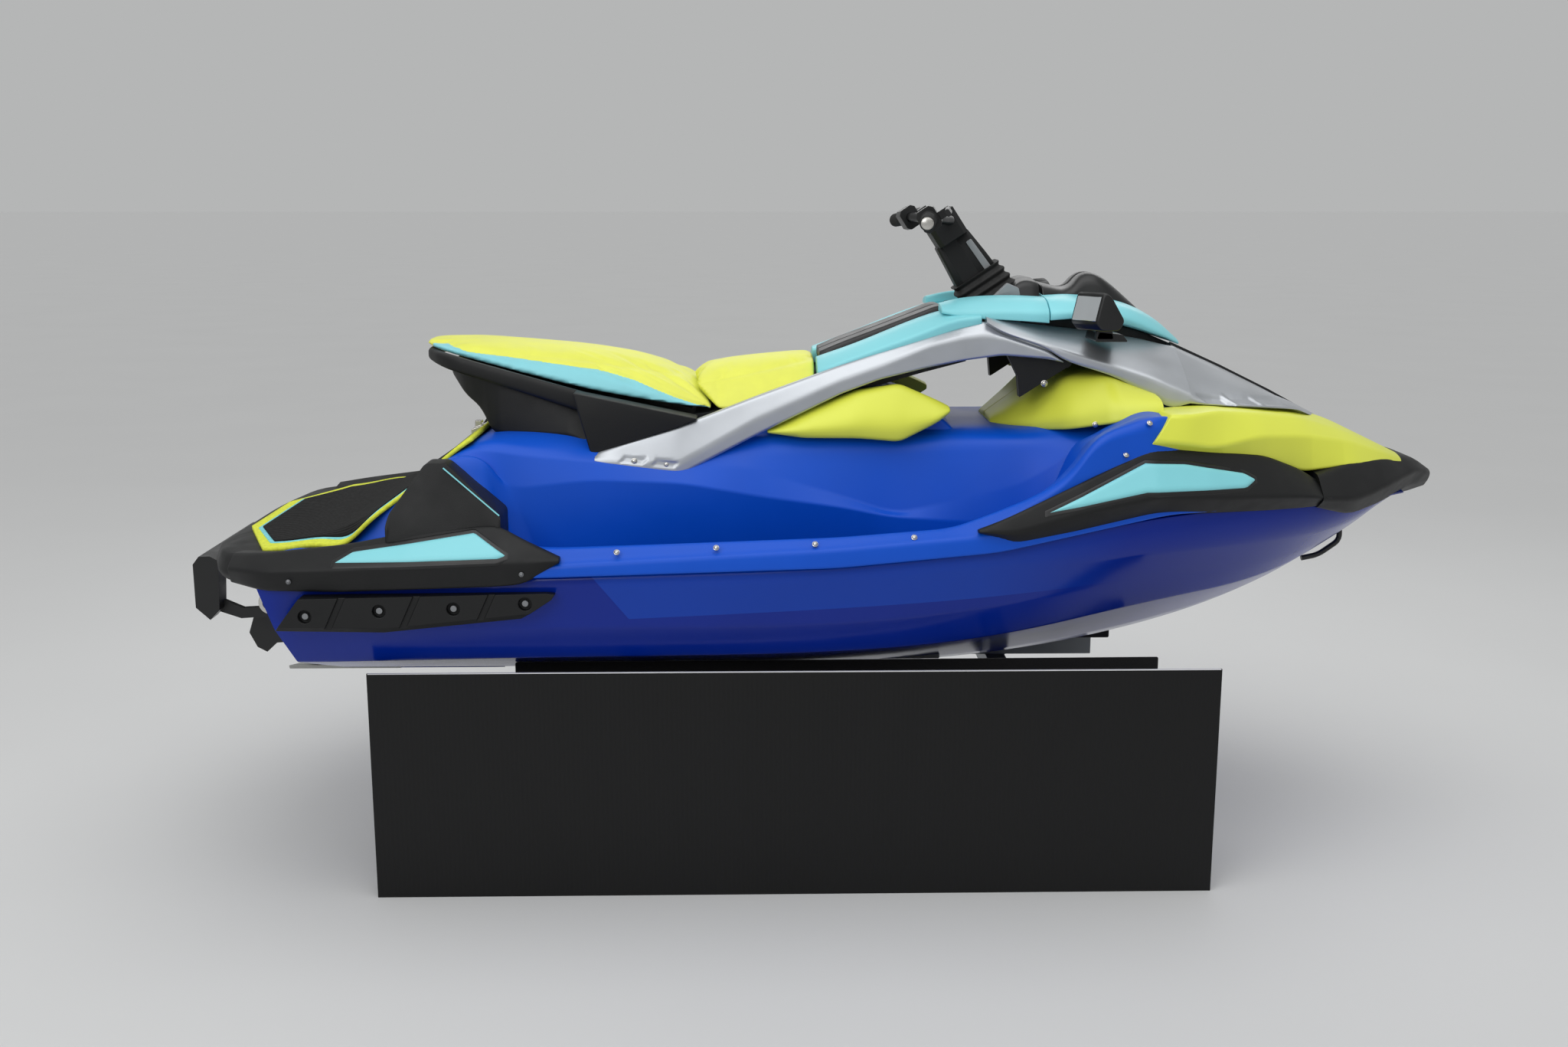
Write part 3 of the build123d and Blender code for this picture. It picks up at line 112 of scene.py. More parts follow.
def cleaned(mesh, angle, gap, repair):
    # points within the gap join, the repair runs, and edges sharper than the angle stay sharp
    work = bmesh.new()
    work.from_mesh(mesh)
    bmesh.ops.remove_doubles(work, verts=work.verts, dist=gap)
    repair(work)
    work.to_mesh(mesh)
    work.free()
    mesh.shade_smooth()
    mesh.set_sharp_from_angle(angle=radians(angle))
    return mesh


def makeMesh(name, grids, loop=True, mirrored=True, angle=32, capped=True):
    # grids (m, k, 3) become quads between neighbours, with the end sections closed by one face each
    corners, faces, base = [], [], 0
    for grid in grids:
        m, k = grid.shape[:2]
        index = np.arange(m * k).reshape(m, k) + base
        near, far = index[:-1], index[1:]
        quads = np.stack([near, np.roll(near, -1, 1), np.roll(far, -1, 1), far], -1)
        faces += (quads if loop else quads[:, :-1]).reshape(-1, 4).tolist()
        if loop and capped:
            faces += [index[0, ::-1].tolist(), index[-1].tolist()]
        corners.append(grid.reshape(-1, 3))
        base += m * k
    corners = np.concatenate(corners)
    if mirrored:
        faces += [[i + len(corners) for i in reversed(face)] for face in faces]
        corners = np.concatenate([corners, corners * (1, -1, 1)])
    mesh = bpy.data.meshes.new(name)
    mesh.from_pydata(corners.tolist(), [], faces)

    def repair(work):
        bmesh.ops.dissolve_degenerate(work, edges=work.edges, dist=1e-5)
        bmesh.ops.recalc_face_normals(work, faces=work.faces)
    return cleaned(mesh, angle, 2e-5, repair)


def addObject(name, data):
    thing = bpy.data.objects.new(name, data)
    bpy.context.scene.collection.objects.link(thing)
    return thing


def addPiece(name, mesh, material, node=None, body="craft"):
    # the node is the CAD node whose place the piece takes
    piece = addObject(name, mesh)
    mesh.materials.append(material)
    if body:
        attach(piece, body)
    if node:
        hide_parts(node)
    return piece


def addShape(name, grids, material, node=None, body="craft", **shape):
    return addPiece(name, makeMesh(name, grids, **shape), material, node, body)


def halfSections(rows, inner=0):
    # a row is x, the lower height of the inner edge, the corners (y, z) from there round, and its upper height
    return [(x, [(inner, low), *corners, (inner, high)]) for x, low, *corners, high in rows]


def addCovers(covers):
    # loft holds the rounding across and along and the steps of each; ease rounds the two ends;
    # a slant moves x by a share of the height over a level, and fades in over a reach behind a front
    for name, cover in covers.items():
        sections = cover.get("sections") or halfSections(cover["rows"], cover.get("inner", 0))
        rings = eased(loft(sections, *cover["loft"]), *cover.get("ease", ()))
        if "slant" in cover:
            share, level, front, reach = cover["slant"]
            fade = np.clip((front - rings[..., 0] * 1000) / reach, 0, 1)
            rings[..., 0] += share * (rings[..., 2] - level / 1000) * fade
        addShape(name, [rings], cover["material"], cover["node"], cover.get("body", "craft"),
                 angle=cover.get("angle", 40))


def wall(piece, thickness):
    solid = piece.modifiers.new("wall", "SOLIDIFY")
    solid.thickness, solid.offset = thickness / 1000, -1


def edgedCopy(node, width, material, body="craft", angle=28):
    # a CAD node's own shape with its edges rounded over
    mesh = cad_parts[node].data.copy()
    mesh.materials.clear()

    def repair(work):
        bmesh.ops.dissolve_limit(work, angle_limit=radians(1.5), verts=work.verts, edges=work.edges)
    piece = addPiece(node + "_finished", cleaned(mesh, angle, 1e-5, repair), material, node, body)
    if width:
        bevel = piece.modifiers.new("edges", "BEVEL")
        bevel.width, bevel.segments, bevel.limit_method = width / 1000, 2, "ANGLE"
        bevel.angle_limit, bevel.harden_normals, bevel.use_clamp_overlap = radians(angle), True, True


def linearColour(code):
    # an sRGB hex value as linear light
    parts = np.array([int(code[i:i + 2], 16) for i in (0, 2, 4)]) / 255
    return (*np.where(parts <= 0.04045, parts / 12.92, ((parts + 0.055) / 1.055) ** 2.4).tolist(), 1)


def addNode(tree, kind, settings=None, links=None):
    node = tree.nodes.new(kind)
    for key, value in (settings or {}).items():
        if isinstance(key, str) and hasattr(node, key):
            setattr(node, key, value)
        else:
            node.inputs[key].default_value = value
    for key, (source, output) in (links or {}).items():
        tree.links.new(source.outputs[output], node.inputs[key])
    return node


# most of a noise texture's values lie between these
noiseSpan = (0.3, 0.7)


def maths(tree, operation, *terms):
    # each term is a number or another node's output
    numbers = {i: term for i, term in enumerate(terms) if not isinstance(term, tuple)}
    links = {i: term for i, term in enumerate(terms) if isinstance(term, tuple)}
    return addNode(tree, "ShaderNodeMath", {"operation": operation, **numbers}, links), "Value"


def mapRange(tree, value, before, after):
    names = ("From Min", "From Max", "To Min", "To Max")
    return addNode(tree, "ShaderNodeMapRange", dict(zip(names, (*before, *after))), {"Value": value}), "Result"


def texture(tree, place, kind, output="Fac", **settings):
    return addNode(tree, "ShaderNodeTex" + kind, settings, {"Vector": place}), output


def startMaterial(name, **shader):
    # an empty material with its shader's plain values set on the shader's own sockets
    material = bpy.data.materials.new(name)
    material.use_nodes = True
    tree = material.node_tree
    tree.nodes.clear()
    bsdf = addNode(tree, "ShaderNodeBsdfPrincipled", {key.replace("_", " "): v for key, v in shader.items()})
    addNode(tree, "ShaderNodeOutputMaterial", {}, {"Surface": (bsdf, "BSDF")})
    return material, tree, bsdf, (addNode(tree, "ShaderNodeTexCoord"), "Object")


def mottle(tree, bsdf, place, colour, amount, size):
    # the colour, a hex value or a node's output, drifts lighter and darker over patches of this size in mm
    noise = texture(tree, place, "Noise", Scale=1000 / size, Detail=3.0)
    shade = mapRange(tree, noise, noiseSpan, (1 - amount, 1 + amount))
    tint = addNode(tree, "ShaderNodeVectorMath", {"operation": "SCALE"}, {"Scale": shade})
    if isinstance(colour, tuple):
        tree.links.new(colour[0].outputs[colour[1]], tint.inputs[0])
    else:
        tint.inputs[0].default_value = linearColour(colour)[:3]
    tree.links.new(tint.outputs["Vector"], bsdf.inputs["Base Color"])
    return noise


def roughen(tree, bsdf, noise, low, high):
    span, output = mapRange(tree, noise, noiseSpan, (low, high))
    tree.links.new(span.outputs[output], bsdf.inputs["Roughness"])


def relief(tree, bsdf, height, depth, strength=1.0):
    # bump of this depth in mm
    bump = addNode(tree, "ShaderNodeBump", {"Strength": strength, "Distance": depth / 1000}, {"Height": height})
    tree.links.new(bump.outputs["Normal"], bsdf.inputs["Normal"])


def grain(size, depth, kind="noise", detail=2.0):
    # raised noise or cells: their spacing and their depth in mm
    def draw(tree, bsdf, place):
        if kind == "noise":
            height = texture(tree, place, "Noise", Scale=1000 / size, Detail=detail)
        else:
            height = texture(tree, place, "Voronoi", "Distance", Scale=1000 / size)
        relief(tree, bsdf, height, depth)
    return draw


def brushedLines(tree, bsdf, place):
    # noise drawn out along the craft
    drawn = addNode(tree, "ShaderNodeMapping", {"Scale": (0.04, 1.0, 1.0)}, {"Vector": place}), "Vector"
    relief(tree, bsdf, texture(tree, drawn, "Noise", Scale=400.0, Detail=2.0), 0.04)


def cutGrooves(tree, bsdf, place):
    # rows of grooves along the craft, with the foam's pores between
    waves = texture(tree, place, "Wave", wave_type="BANDS", bands_direction="Y", Scale=22.0)
    pores = texture(tree, place, "Noise", Scale=700.0)
    relief(tree, bsdf, maths(tree, "MULTIPLY_ADD", pores, 0.3, waves), 1.2)


def flutes(tree, bsdf, place):
    # faint vertical flutes of a twin-wall sheet
    waves = texture(tree, place, "Wave", wave_type="BANDS", bands_direction="X", Scale=31.0, Distortion=0.3)
    relief(tree, bsdf, waves, 0.4, 0.6)


def finish(name, code, rough, drift, pattern=None, **shader):
    # the roughness lies between two values; the drift is the colour's share and the size of its patches
    material, tree, bsdf, place = startMaterial(name, **shader)
    roughen(tree, bsdf, mottle(tree, bsdf, place, code, *drift), *rough)
    if pattern:
        pattern(tree, bsdf, place)
    return material


# moulded polypropylene: satin, faintly uneven
deckBlue = finish("mouldedBluePolypropylene", "0050C8", (0.36, 0.46), (0.04, 160), grain(1.8, 0.05), IOR=1.36)
limePlastic = finish("mouldedLimePolypropylene", "E2E94F", (0.36, 0.46), (0.02, 160), grain(1.8, 0.05), IOR=1.5)
tealPlastic = finish("mouldedTealPolypropylene", "86D6DF", (0.34, 0.44), (0.02, 160), grain(1.8, 0.05), IOR=1.5)
# matt with a leather-like etch, coarser than the real 0.4 mm so that it shows
blackTextured = finish("etchedBlackPolypropylene", "101112", (0.48, 0.62), (0.10, 60), grain(1.6, 0.22), IOR=1.4)
# plain ABS is smoother and catches lines of light along its edges
blackSatin = finish("satinBlackAbs", "0D0E0F", (0.3, 0.42), (0.08, 50), grain(1.2, 0.04), IOR=1.5)
greyPlastic = finish("mouldedGreyAbs", "8E9194", (0.36, 0.46), (0.03, 40), grain(1.6, 0.05), IOR=1.5)
blackRubber = finish("mouldedBlackRubber", "121212", (0.6, 0.75), (0.1, 20), grain(0.9, 0.12), IOR=1.5)
# silver paint over plastic: fine flake, broad soft highlight
silverPaint = finish("silverFlakePaint", "B9BDC2", (0.34, 0.42), (0.05, 90), grain(0.9, 0.03, "cells"),
                     Metallic=0.75, Coat_Weight=0.15, Coat_Roughness=0.1)
# metals: polished screws and eyes, the pump's duller castings, the ride plate, the stand
stainless = finish("polishedStainless", "C9C7C2", (0.16, 0.28), (0.05, 90), Metallic=1.0)
castAluminium = finish("castAluminium", "8E9093", (0.42, 0.6), (0.05, 90), grain(0.9, 0.25, "cells"), Metallic=1.0)
brushedPlate = finish("brushedAluminium", "A8A8A4", (0.28, 0.4), (0.05, 90), brushedLines, Metallic=1.0)
galvanised = finish("galvanisedSteel", "7C8084", (0.4, 0.55), (0.05, 90), grain(0.9, 0.12, "cells"), Metallic=1.0)
# embossed marine vinyl: satin with a fine pebble, a little sheen
limeVinyl, tealVinyl = (finish(name, code, (0.42, 0.54), (0.03, 45), grain(1.6, 0.16, "cells"), IOR=1.48,
                               Sheen_Weight=0.08)
                        for name, code in (("embossedLimeVinyl", "E4E858"), ("embossedTealVinyl", "84D0DA")))
# grooved EVA foam
blackFoam, limeFoam, tealFoam = (finish(name, code, (0.7, 0.85), (0.12, 8), cutGrooves, IOR=1.32)
                                 for name, code in (("groovedBlackEva", "090909"), ("groovedLimeEva", "DDE54A"),
                                                    ("groovedTealEva", "86D6DF")))
# twin-wall polypropylene sheet: a glossy black print, and white where it is cut
boardPrint = finish("printedTwinWallSheet", "050506", (0.3, 0.42), (0.2, 400), flutes, IOR=1.38)
whiteSheet = finish("whiteTwinWallCore", "E4E5E6", (0.4, 0.5), (0.03, 30), grain(3, 0.05), IOR=1.5)
# needle-punched marine carpet: matt, fibrous
bunkCarpet = finish("needlePunchCarpet", "161618", (0.9, 1.0), (0.35, 3), grain(2.2, 0.9, "noise", 6.0), IOR=1.4,
                    Sheen_Weight=0.3)
# silvered glass: nearly clear of roughness, with the faintest waviness
silvered = finish("silveredGlass", "D8DDE0", (0.02, 0.05), (0.02, 40), grain(30, 0.01), Metallic=1.0)

gelcoat = {
    "base": "002690", "panel": "033CAA",
    # the panel's rear and lower edge, each x, z to x, z, and where its front fades out, in metres
    "rear": (-0.484, 0.711, -0.431, 0.639), "foot": (-0.431, 0.639, 0.331, 0.676), "fade": (0.30, 0.62),
    "drift": (0.04, 300), "rough": (0.14, 0.22), "waviness": (14, 0.02),
}


def sprayedGelcoat():
    # deep blue under a clear gloss, with a lighter printed panel along each side
    material, tree, bsdf, place = startMaterial("sprayedBlueGelcoat", IOR=1.36)
    split = addNode(tree, "ShaderNodeSeparateXYZ", {}, {"Vector": place})

    def beyond(line):
        # 1 where x and z lie above the line: (z0 - z1) (x - x0) + (x1 - x0) (z - z0) > 0
        x0, z0, x1, z1 = line
        a, b = z0 - z1, x1 - x0
        first = maths(tree, "MULTIPLY_ADD", (split, "X"), a, -(a * x0 + b * z0))
        return maths(tree, "GREATER_THAN", maths(tree, "MULTIPLY_ADD", (split, "Z"), b, first), 0.0)
    inside = maths(tree, "MULTIPLY", beyond(gelcoat["rear"]), beyond(gelcoat["foot"]))
    fade = mapRange(tree, (split, "X"), gelcoat["fade"], (1.0, 0.0))
    blend = addNode(tree, "ShaderNodeMix", {"data_type": "RGBA"}, {0: maths(tree, "MULTIPLY", inside, fade)})
    blend.inputs[6].default_value = linearColour(gelcoat["base"])
    blend.inputs[7].default_value = linearColour(gelcoat["panel"])
    roughen(tree, bsdf, mottle(tree, bsdf, place, (blend, 2), *gelcoat["drift"]), *gelcoat["rough"])
    grain(*gelcoat["waviness"])(tree, bsdf, place)
    return material


hullGelcoat = sprayedGelcoat()
print("materials made")

hull = {
    # x, keel height, then (half-breadth, height) of strake, inner chine, outer chine, knuckle and sheer
    "stations": [
        (-1240, 391, (130, 428), (412, 520), (478, 612), (492, 690), (497, 722)),
        (-900, 390, (130, 428), (424, 529), (489, 615), (512, 696), (520, 731)),
        (-600, 390, (130, 428), (430, 536), (498, 618), (526, 700), (538, 738)),
        (0, 390, (130, 430), (430, 541), (500, 622), (532, 712), (546, 758)),
        (350, 408, (125, 450), (402, 566), (470, 652), (512, 742), (536, 790)),
        (700, 468, (100, 508), (310, 622), (366, 694), (428, 757), (472, 848)),
        (1000, 566, (64, 592), (168, 640), (214, 682), (288, 757), (366, 848)),
        (1200, 692, (28, 700), (60, 712), (84, 722), (150, 758), (250, 836)),
        (1344, 796, (8, 799), (14, 802), (20, 806), (40, 814), (104, 828)),
    ],
    "transom": (-1152, 538, -1196, 700),
    "tunnelHalf": 101, "shaftHeight": 500, "tunnelFront": -760, "tunnelRows": 24, "capRows": 12,
    "along": 260, "chine": 7, "skin": 7, "sternRow": -1090,
}


def transomX(z):
    x0, z0, x1, z1 = hull["transom"]
    return (x0 + (x1 - x0) / (z1 - z0) * (z * 1000 - z0)) / 1000


def makeHull():
    # half sections, keel to sheer, smooth along the craft and tight round the chines
    rings = np.array([[(x, 0, keel), *[(x, *corner) for corner in corners]]
                      for x, keel, *corners in hull["stations"]]) / 1000
    rings = faired(rings, hull["along"], 9)
    half, front, shaft = (hull[key] / 1000 for key in ("tunnelHalf", "tunnelFront", "shaftHeight"))
    stations = rings[:, 0, 0]
    at = np.stack([np.stack([np.interp(front, stations, rings[:, c, axis]) for axis in range(3)])
                   for c in range(rings.shape[1])])[None]
    ahead = np.concatenate([at, rings[stations > front + 0.001]])
    astern = np.concatenate([rings[stations < front - 0.001], at])
    # the bottom starts at the tunnel's side, and the stern ends at the raked transom
    slope = (astern[:, 1, 2] - astern[:, 0, 2]) / astern[:, 1, 1]
    astern[:, 0, 2] += slope * half
    astern[:, 0, 1] = half
    astern = astern[astern[:, 0, 0] > hull["sternRow"] / 1000]
    end = astern[:1].copy()
    end[..., 0] = transomX(end[..., 2])
    foreSkin, aftSkin = (softened(part, hull["chine"], 4, False) for part in (ahead, np.concatenate([end, astern])))
    # tunnel: up its side, round its roof to the middle, as many points as the skin has
    count = aftSkin.shape[1]
    turn = np.clip(np.linspace(-0.6, 1, count), 0, 1) * pi / 2
    side = np.clip(np.linspace(1, -1.66, count), 0, 1)
    up = shaft + half * np.sin(turn) - side * (shaft - aftSkin[0, 0, 2])
    places = np.linspace(0, 1, hull["tunnelRows"])[:, None]
    liner = np.stack(np.broadcast_arrays(transomX(up) * (1 - places) + front * places, half * np.cos(turn), up), -1)
    blend = np.linspace(0, 1, hull["capRows"])[:, None, None]
    transom = liner[:1] * (1 - blend) + aftSkin[:1] * blend
    wallFront = liner[-1:] * (1 - blend) + np.array([[[front, 0, shaft]]]) * blend
    bow = np.concatenate([foreSkin[-1:], foreSkin[-1:] * (1, 0, 1)])
    wall(addShape("hull_shell", [foreSkin, aftSkin, liner, transom, wallFront, bow], hullGelcoat, "hull",
                  loop=False, angle=24), hull["skin"])


makeHull()
print("hull made")

# one skin from the gunwale over the footwell and saddle to the crown
bodyLines = [
    # under lip, gunwale foot, gunwale edge, screw shelf, inner ridge
    [(-1232, 484, 722), (-600, 534, 738), (0, 540, 758), (350, 530, 790), (700, 456, 848), (820, 420, 850)],
    [(-1232, 497, 722), (-600, 556, 738), (0, 562, 757), (330, 554, 786), (700, 478, 850), (820, 440, 850)],
    [(-1232, 488, 746), (-600, 554, 763), (0, 560, 796), (320, 552, 822), (700, 468, 880), (820, 430, 880)],
    [(-1232, 462, 750), (-600, 540, 768), (0, 546, 801), (290, 540, 826), (405, 526, 884), (472, 514, 921),
     (539, 502, 1008), (660, 466, 1034), (700, 452, 1026), (820, 400, 960)],
    [(-1232, 440, 752), (-700, 500, 790), (-564, 522, 794), (0, 526, 816), (235, 518, 833), (294, 510, 853),
     (405, 504, 895), (472, 498, 931), (539, 490, 1020), (660, 454, 1052), (702, 438, 1055), (820, 380, 1000)],
    # footwell: outer wall's top and foot, floor's outer and inner edge, saddle's foot
    [(-1232, 420, 752), (-900, 420, 800), (-740, 436, 850), (-690, 470, 800), (-600, 476, 786), (0, 480, 802),
     (235, 472, 816), (320, 456, 832), (405, 444, 868), (480, 434, 930), (545, 444, 1018), (660, 424, 1056),
     (820, 350, 1010)],
    [(-1232, 410, 752), (-900, 408, 830), (-760, 414, 905), (-700, 440, 800), (-655, 436, 700), (-600, 448, 672),
     (0, 462, 672), (300, 440, 672), (395, 420, 722), (470, 405, 850), (525, 400, 986), (560, 410, 1005),
     (660, 400, 1057), (820, 330, 1016)],
    [(-1232, 400, 752), (-1050, 402, 788), (-905, 402, 868), (-800, 398, 950), (-735, 398, 900), (-690, 412, 760),
     (-640, 420, 668), (-600, 420, 650), (0, 440, 650), (300, 418, 650), (395, 400, 700), (470, 385, 830),
     (520, 380, 985), (560, 380, 1003), (660, 378, 1058), (820, 310, 1022)],
    [(-1232, 390, 752), (-1050, 396, 790), (-905, 396, 882), (-805, 388, 964), (-740, 384, 940), (-690, 376, 800),
     (-640, 368, 690), (-600, 356, 652), (-325, 308, 650), (0, 292, 650), (300, 300, 650), (395, 312, 700),
     (470, 322, 830), (520, 332, 982), (560, 342, 1000), (660, 340, 1060), (820, 290, 1030)],
    [(-1232, 376, 752), (-1050, 386, 790), (-905, 386, 885), (-808, 376, 968), (-740, 368, 966), (-690, 356, 868),
     (-640, 350, 740), (-600, 338, 676), (-325, 292, 672), (0, 276, 672), (300, 284, 672), (395, 296, 722),
     (470, 304, 850), (520, 314, 976), (560, 324, 994), (660, 320, 1060), (820, 270, 1036)],
    # lower and upper crease of the saddle's side
    [(-1232, 350, 752), (-1050, 360, 790), (-905, 360, 885), (-812, 352, 966), (-740, 352, 940), (-692, 352, 888),
     (-520, 342, 905), (-327, 336, 897), (-146, 329, 864), (24, 318, 839), (124, 304, 816), (300, 292, 800),
     (420, 300, 806), (500, 316, 890), (560, 316, 990), (660, 300, 1061), (820, 250, 1040)],
    [(-1232, 330, 752), (-1050, 340, 790), (-905, 340, 885), (-812, 336, 967), (-740, 340, 972), (-672, 334, 957),
     (-542, 326, 945), (-325, 308, 925), (-197, 305, 930), (-70, 300, 890), (59, 294, 848), (143, 286, 818),
     (300, 282, 852), (420, 290, 885), (500, 304, 940), (560, 306, 988), (660, 280, 1062), (820, 230, 1044)],
    # shoulder, saddle top and crown
    [(-1232, 300, 752), (-1050, 310, 790), (-905, 310, 885), (-815, 310, 967), (-745, 318, 990), (-645, 316, 972),
     (-520, 305, 957), (-325, 285, 962), (0, 264, 972), (140, 256, 972), (300, 254, 978), (470, 272, 982),
     (563, 290, 989), (660, 260, 1062), (820, 200, 1050)],
    [(-1232, 230, 752), (-1050, 230, 790), (-905, 230, 885), (-815, 230, 967), (-745, 230, 992), (-520, 232, 1000),
     (-325, 225, 1004), (0, 225, 1000), (300, 200, 996), (420, 210, 994), (600, 240, 1030), (820, 170, 1060)],
    [(-1232, 0, 752), (-1050, 0, 790), (-905, 0, 885), (-815, 0, 967), (-745, 0, 992), (-520, 0, 1004),
     (0, 0, 1004), (300, 0, 997), (420, 0, 995), (600, 0, 1040), (820, 0, 1066)],
]
body = {
    "stations": (-1228, 815, 9), "skin": 5,
    "loft": ([0, 6, 9, 8, 10, 10, 24, 14, 14, 24, 5, 6, 26, 30, 60], 40, 5),
    # the ramp starts later along its sides: the dip's depth, place and reach, where y lets it in, over what
    # breadth it grows to the full, and where it ends
    "dip": {"depth": 18, "at": -1035, "reach": 45, "from": 330, "full": 60, "to": 440},
}
bodySkin = linesLoft(bodyLines, np.arange(*body["stations"]) / 1000, *body["loft"])


def sideDip(x, y):
    # a bell curve exp(-((x - at) / reach)^2) that grows with the distance from the middle line
    depth, at, reach, start, full = (body["dip"][key] / 1000 for key in ("depth", "at", "reach", "from", "full"))
    return depth * np.exp(-((x - at) / reach) ** 2) * np.clip((np.abs(y) - start) / full, 0, 1)


bodySkin[..., 2] -= sideDip(bodySkin[..., 0], bodySkin[..., 1]) * (bodySkin[..., 1] < body["dip"]["to"] / 1000)
wall(addShape("deck_body", [bodySkin], deckBlue, "deck", loop=False, angle=50), body["skin"])
addCovers({
    "foredeck": {"node": "deck", "material": deckBlue, "loft": (10, 60), "angle": 32, "rows": [
        (800, 850, (432, 852), (424, 876), (392, 950), (260, 1030), 1048),
        (1000, 850, (336, 850), (330, 870), (296, 896), (200, 930), 960),
        (1200, 838, (226, 838), (220, 860), (176, 880), (100, 905), 920),
        (1340, 830, (100, 830), (96, 842), (70, 856), (30, 862), 864),
    ]},
    "saddle_hump": {"node": "deck", "material": deckBlue, "loft": (12, 40), "angle": 32, "rows": [
        (-420, 960, (214, 960), (210, 978), 984),
        (-140, 960, (214, 960), (208, 1040), 1048),
        (100, 960, (214, 960), (206, 1080), 1088),
        (235, 960, (212, 960), (204, 1034), 1042),
        (286, 960, (208, 960), (200, 985), 992),
    ]},
})
print("deck made")

bumpers = {
    # x, then (half-breadth, height) of foot, side crease, top edge and inner edge
    "rear": [
        (-1262, (470, 712), (486, 746), (440, 770), (370, 760)),
        (-1180, (520, 705), (533, 750), (476, 778), (405, 765)),
        (-1014, (537, 706), (551, 757), (486, 798), (415, 775)),
        (-877, (545, 712), (559, 766), (492, 826), (425, 790)),
        (-698, (551, 719), (565, 773), (500, 843), (440, 790)),
        (-640, (553, 724), (566, 774), (518, 812), (455, 790)),
        (-566, (554, 770), (566, 776), (548, 782), (500, 774)),
    ],
    "front": [
        (288, (540, 826), (566, 832), (556, 838), (530, 832)),
        (340, (536, 808), (568, 830), (552, 860), (520, 840)),
        (368, (530, 790), (567, 832), (548, 872), (510, 845)),
        (500, (512, 820), (553, 866), (520, 928), (470, 900)),
        (662, (478, 850), (518, 893), (464, 994), (420, 960)),
        (780, (446, 846), (486, 886), (424, 986), (370, 960)),
        (930, (386, 840), (430, 878), (366, 960), (310, 930)),
        (1016, (348, 838), (392, 872), (330, 926), (280, 900)),
        (1084, (318, 838), (360, 862), (300, 884), (250, 870)),
    ],
    # half sections, as in a cover's rows
    "bow": [
        (1060, 830, (332, 836), (374, 862), (324, 908), 930),
        (1160, 804, (262, 806), (316, 852), (262, 928), 940),
        (1260, 800, (178, 818), (236, 872), (180, 926), 938),
        (1360, 802, (84, 840), (138, 890), (96, 912), 914),
        (1434, 826, (26, 846), (34, 862), (24, 870), 872),
    ],
    "stern": [
        (-1212, 702, (460, 702), (492, 724), (462, 762), 762),
        (-1300, 700, (392, 700), (426, 722), (396, 761), 761),
        (-1345, 703, (280, 703), (310, 722), (270, 749), 749),
        (-1366, 708, (196, 708), (232, 722), (196, 740), 740),
    ],
    "sideLoft": ([4, 8, 9, 12, 4], 26), "endLoft": ([4, 12, 14, 14, 4], 40),
}
for side, node in (("rear", "rear_bumpers"), ("front", "front_bumpers")):
    sections = [(x, [(inner[0], foot[1]), foot, crease, top, inner])
                for x, foot, crease, top, inner in bumpers[side]]
    rings = eased(loft(sections, *bumpers["sideLoft"]), 4, 4)
    addShape(f"{side}_bumper_shells", [rings], blackTextured, node, angle=34)
for side, end in (("bow", 4), ("stern", 8)):
    rings = eased(loft(halfSections(bumpers[side]), *bumpers["endLoft"]), 0, end)
    addShape(f"{side}_bumper_shell", [rings], blackTextured, f"{side}_bumper", angle=34)


def onFace(rows, x, z, lift):
    # the point of a bumper's sloping upper face at x and height z, lifted off it in mm
    xs = np.array([row[0] for row in rows], float)
    creaseY, creaseZ, topY, topZ = (np.interp(x, xs, [row[part][axis] for row in rows])
                                    for part, axis in ((2, 0), (2, 1), (3, 0), (3, 1)))
    share = (z - creaseZ) / (topZ - creaseZ)
    length = np.hypot(topZ - creaseZ, creaseY - topY)
    outY, outZ = (topZ - creaseZ) / length, (creaseY - topY) / length
    return np.stack([x, creaseY + (topY - creaseY) * share + outY * lift, z + outZ * lift], -1) / 1000


def pad(rows, low, high, rise, edge, sink, grow, count=(60, 14), depth=4.0):
    # a pillow between two lines (x, z) on the face: rise (1 - (1 - d/edge)^2)^0.5, d in from its outline
    x = np.linspace(low[0][0] - grow, low[-1][0] + grow, count[0])
    bottom = np.interp(x, *np.array(low, float).T) - grow
    top = np.maximum(np.interp(x, *np.array(high, float).T) + grow, bottom + 1)
    share = (1 - np.cos(np.linspace(0, pi, count[1]))) / 2
    z = bottom[:, None] + (top - bottom)[:, None] * share
    ends = np.minimum(x - x[0], x[-1] - x)[:, None]
    inset = np.minimum(np.minimum(z - bottom[:, None], top[:, None] - z), ends)
    lift = -sink + (rise + sink) * np.sqrt(1 - (1 - np.clip(inset / edge, 0, 1)) ** 2)
    x = np.broadcast_to(x[:, None], z.shape)
    upper, lower = onFace(rows, x, z, lift), onFace(rows, x, z, np.full(z.shape, -sink - depth))
    return np.concatenate([upper, lower[:, ::-1]], axis=1)


inserts = {
    # the outline's lower and upper line, each by length and height
    "rear": {"low": [(-1031, 765), (-860, 771), (-690, 778), (-672, 784)],
             "high": [(-1031, 766), (-993, 787), (-743, 826), (-672, 785)]},
    "front": {"low": [(424, 866), (640, 902), (868, 898), (896, 913)],
              "high": [(424, 867), (640, 962), (730, 956), (866, 930), (896, 914)]},
}
# rise, edge, sink and growth of the dark lip round each insert, which is painted shade standing for the shadow in
# the groove there, and of the insert that stands in it
pads = {"painted_shade_rim": (1.2, 3, 3, 7), "insert": (5.5, 8, 2, -1.0)}
for side, outline in inserts.items():
    lip, insert = (pad(bumpers[side], outline["low"], outline["high"], *pads[part]) for part in pads)
    # the dark lip is painted shade: a black rim put where the groove round the insert only lies in shadow
    addShape(f"{side}_insert_painted_shade_rim", [lip], blackSatin, angle=60)
    addShape(f"{side}_bumper_inserts", [insert], tealPlastic, "bumper_inserts", angle=60)
print("bumpers made")


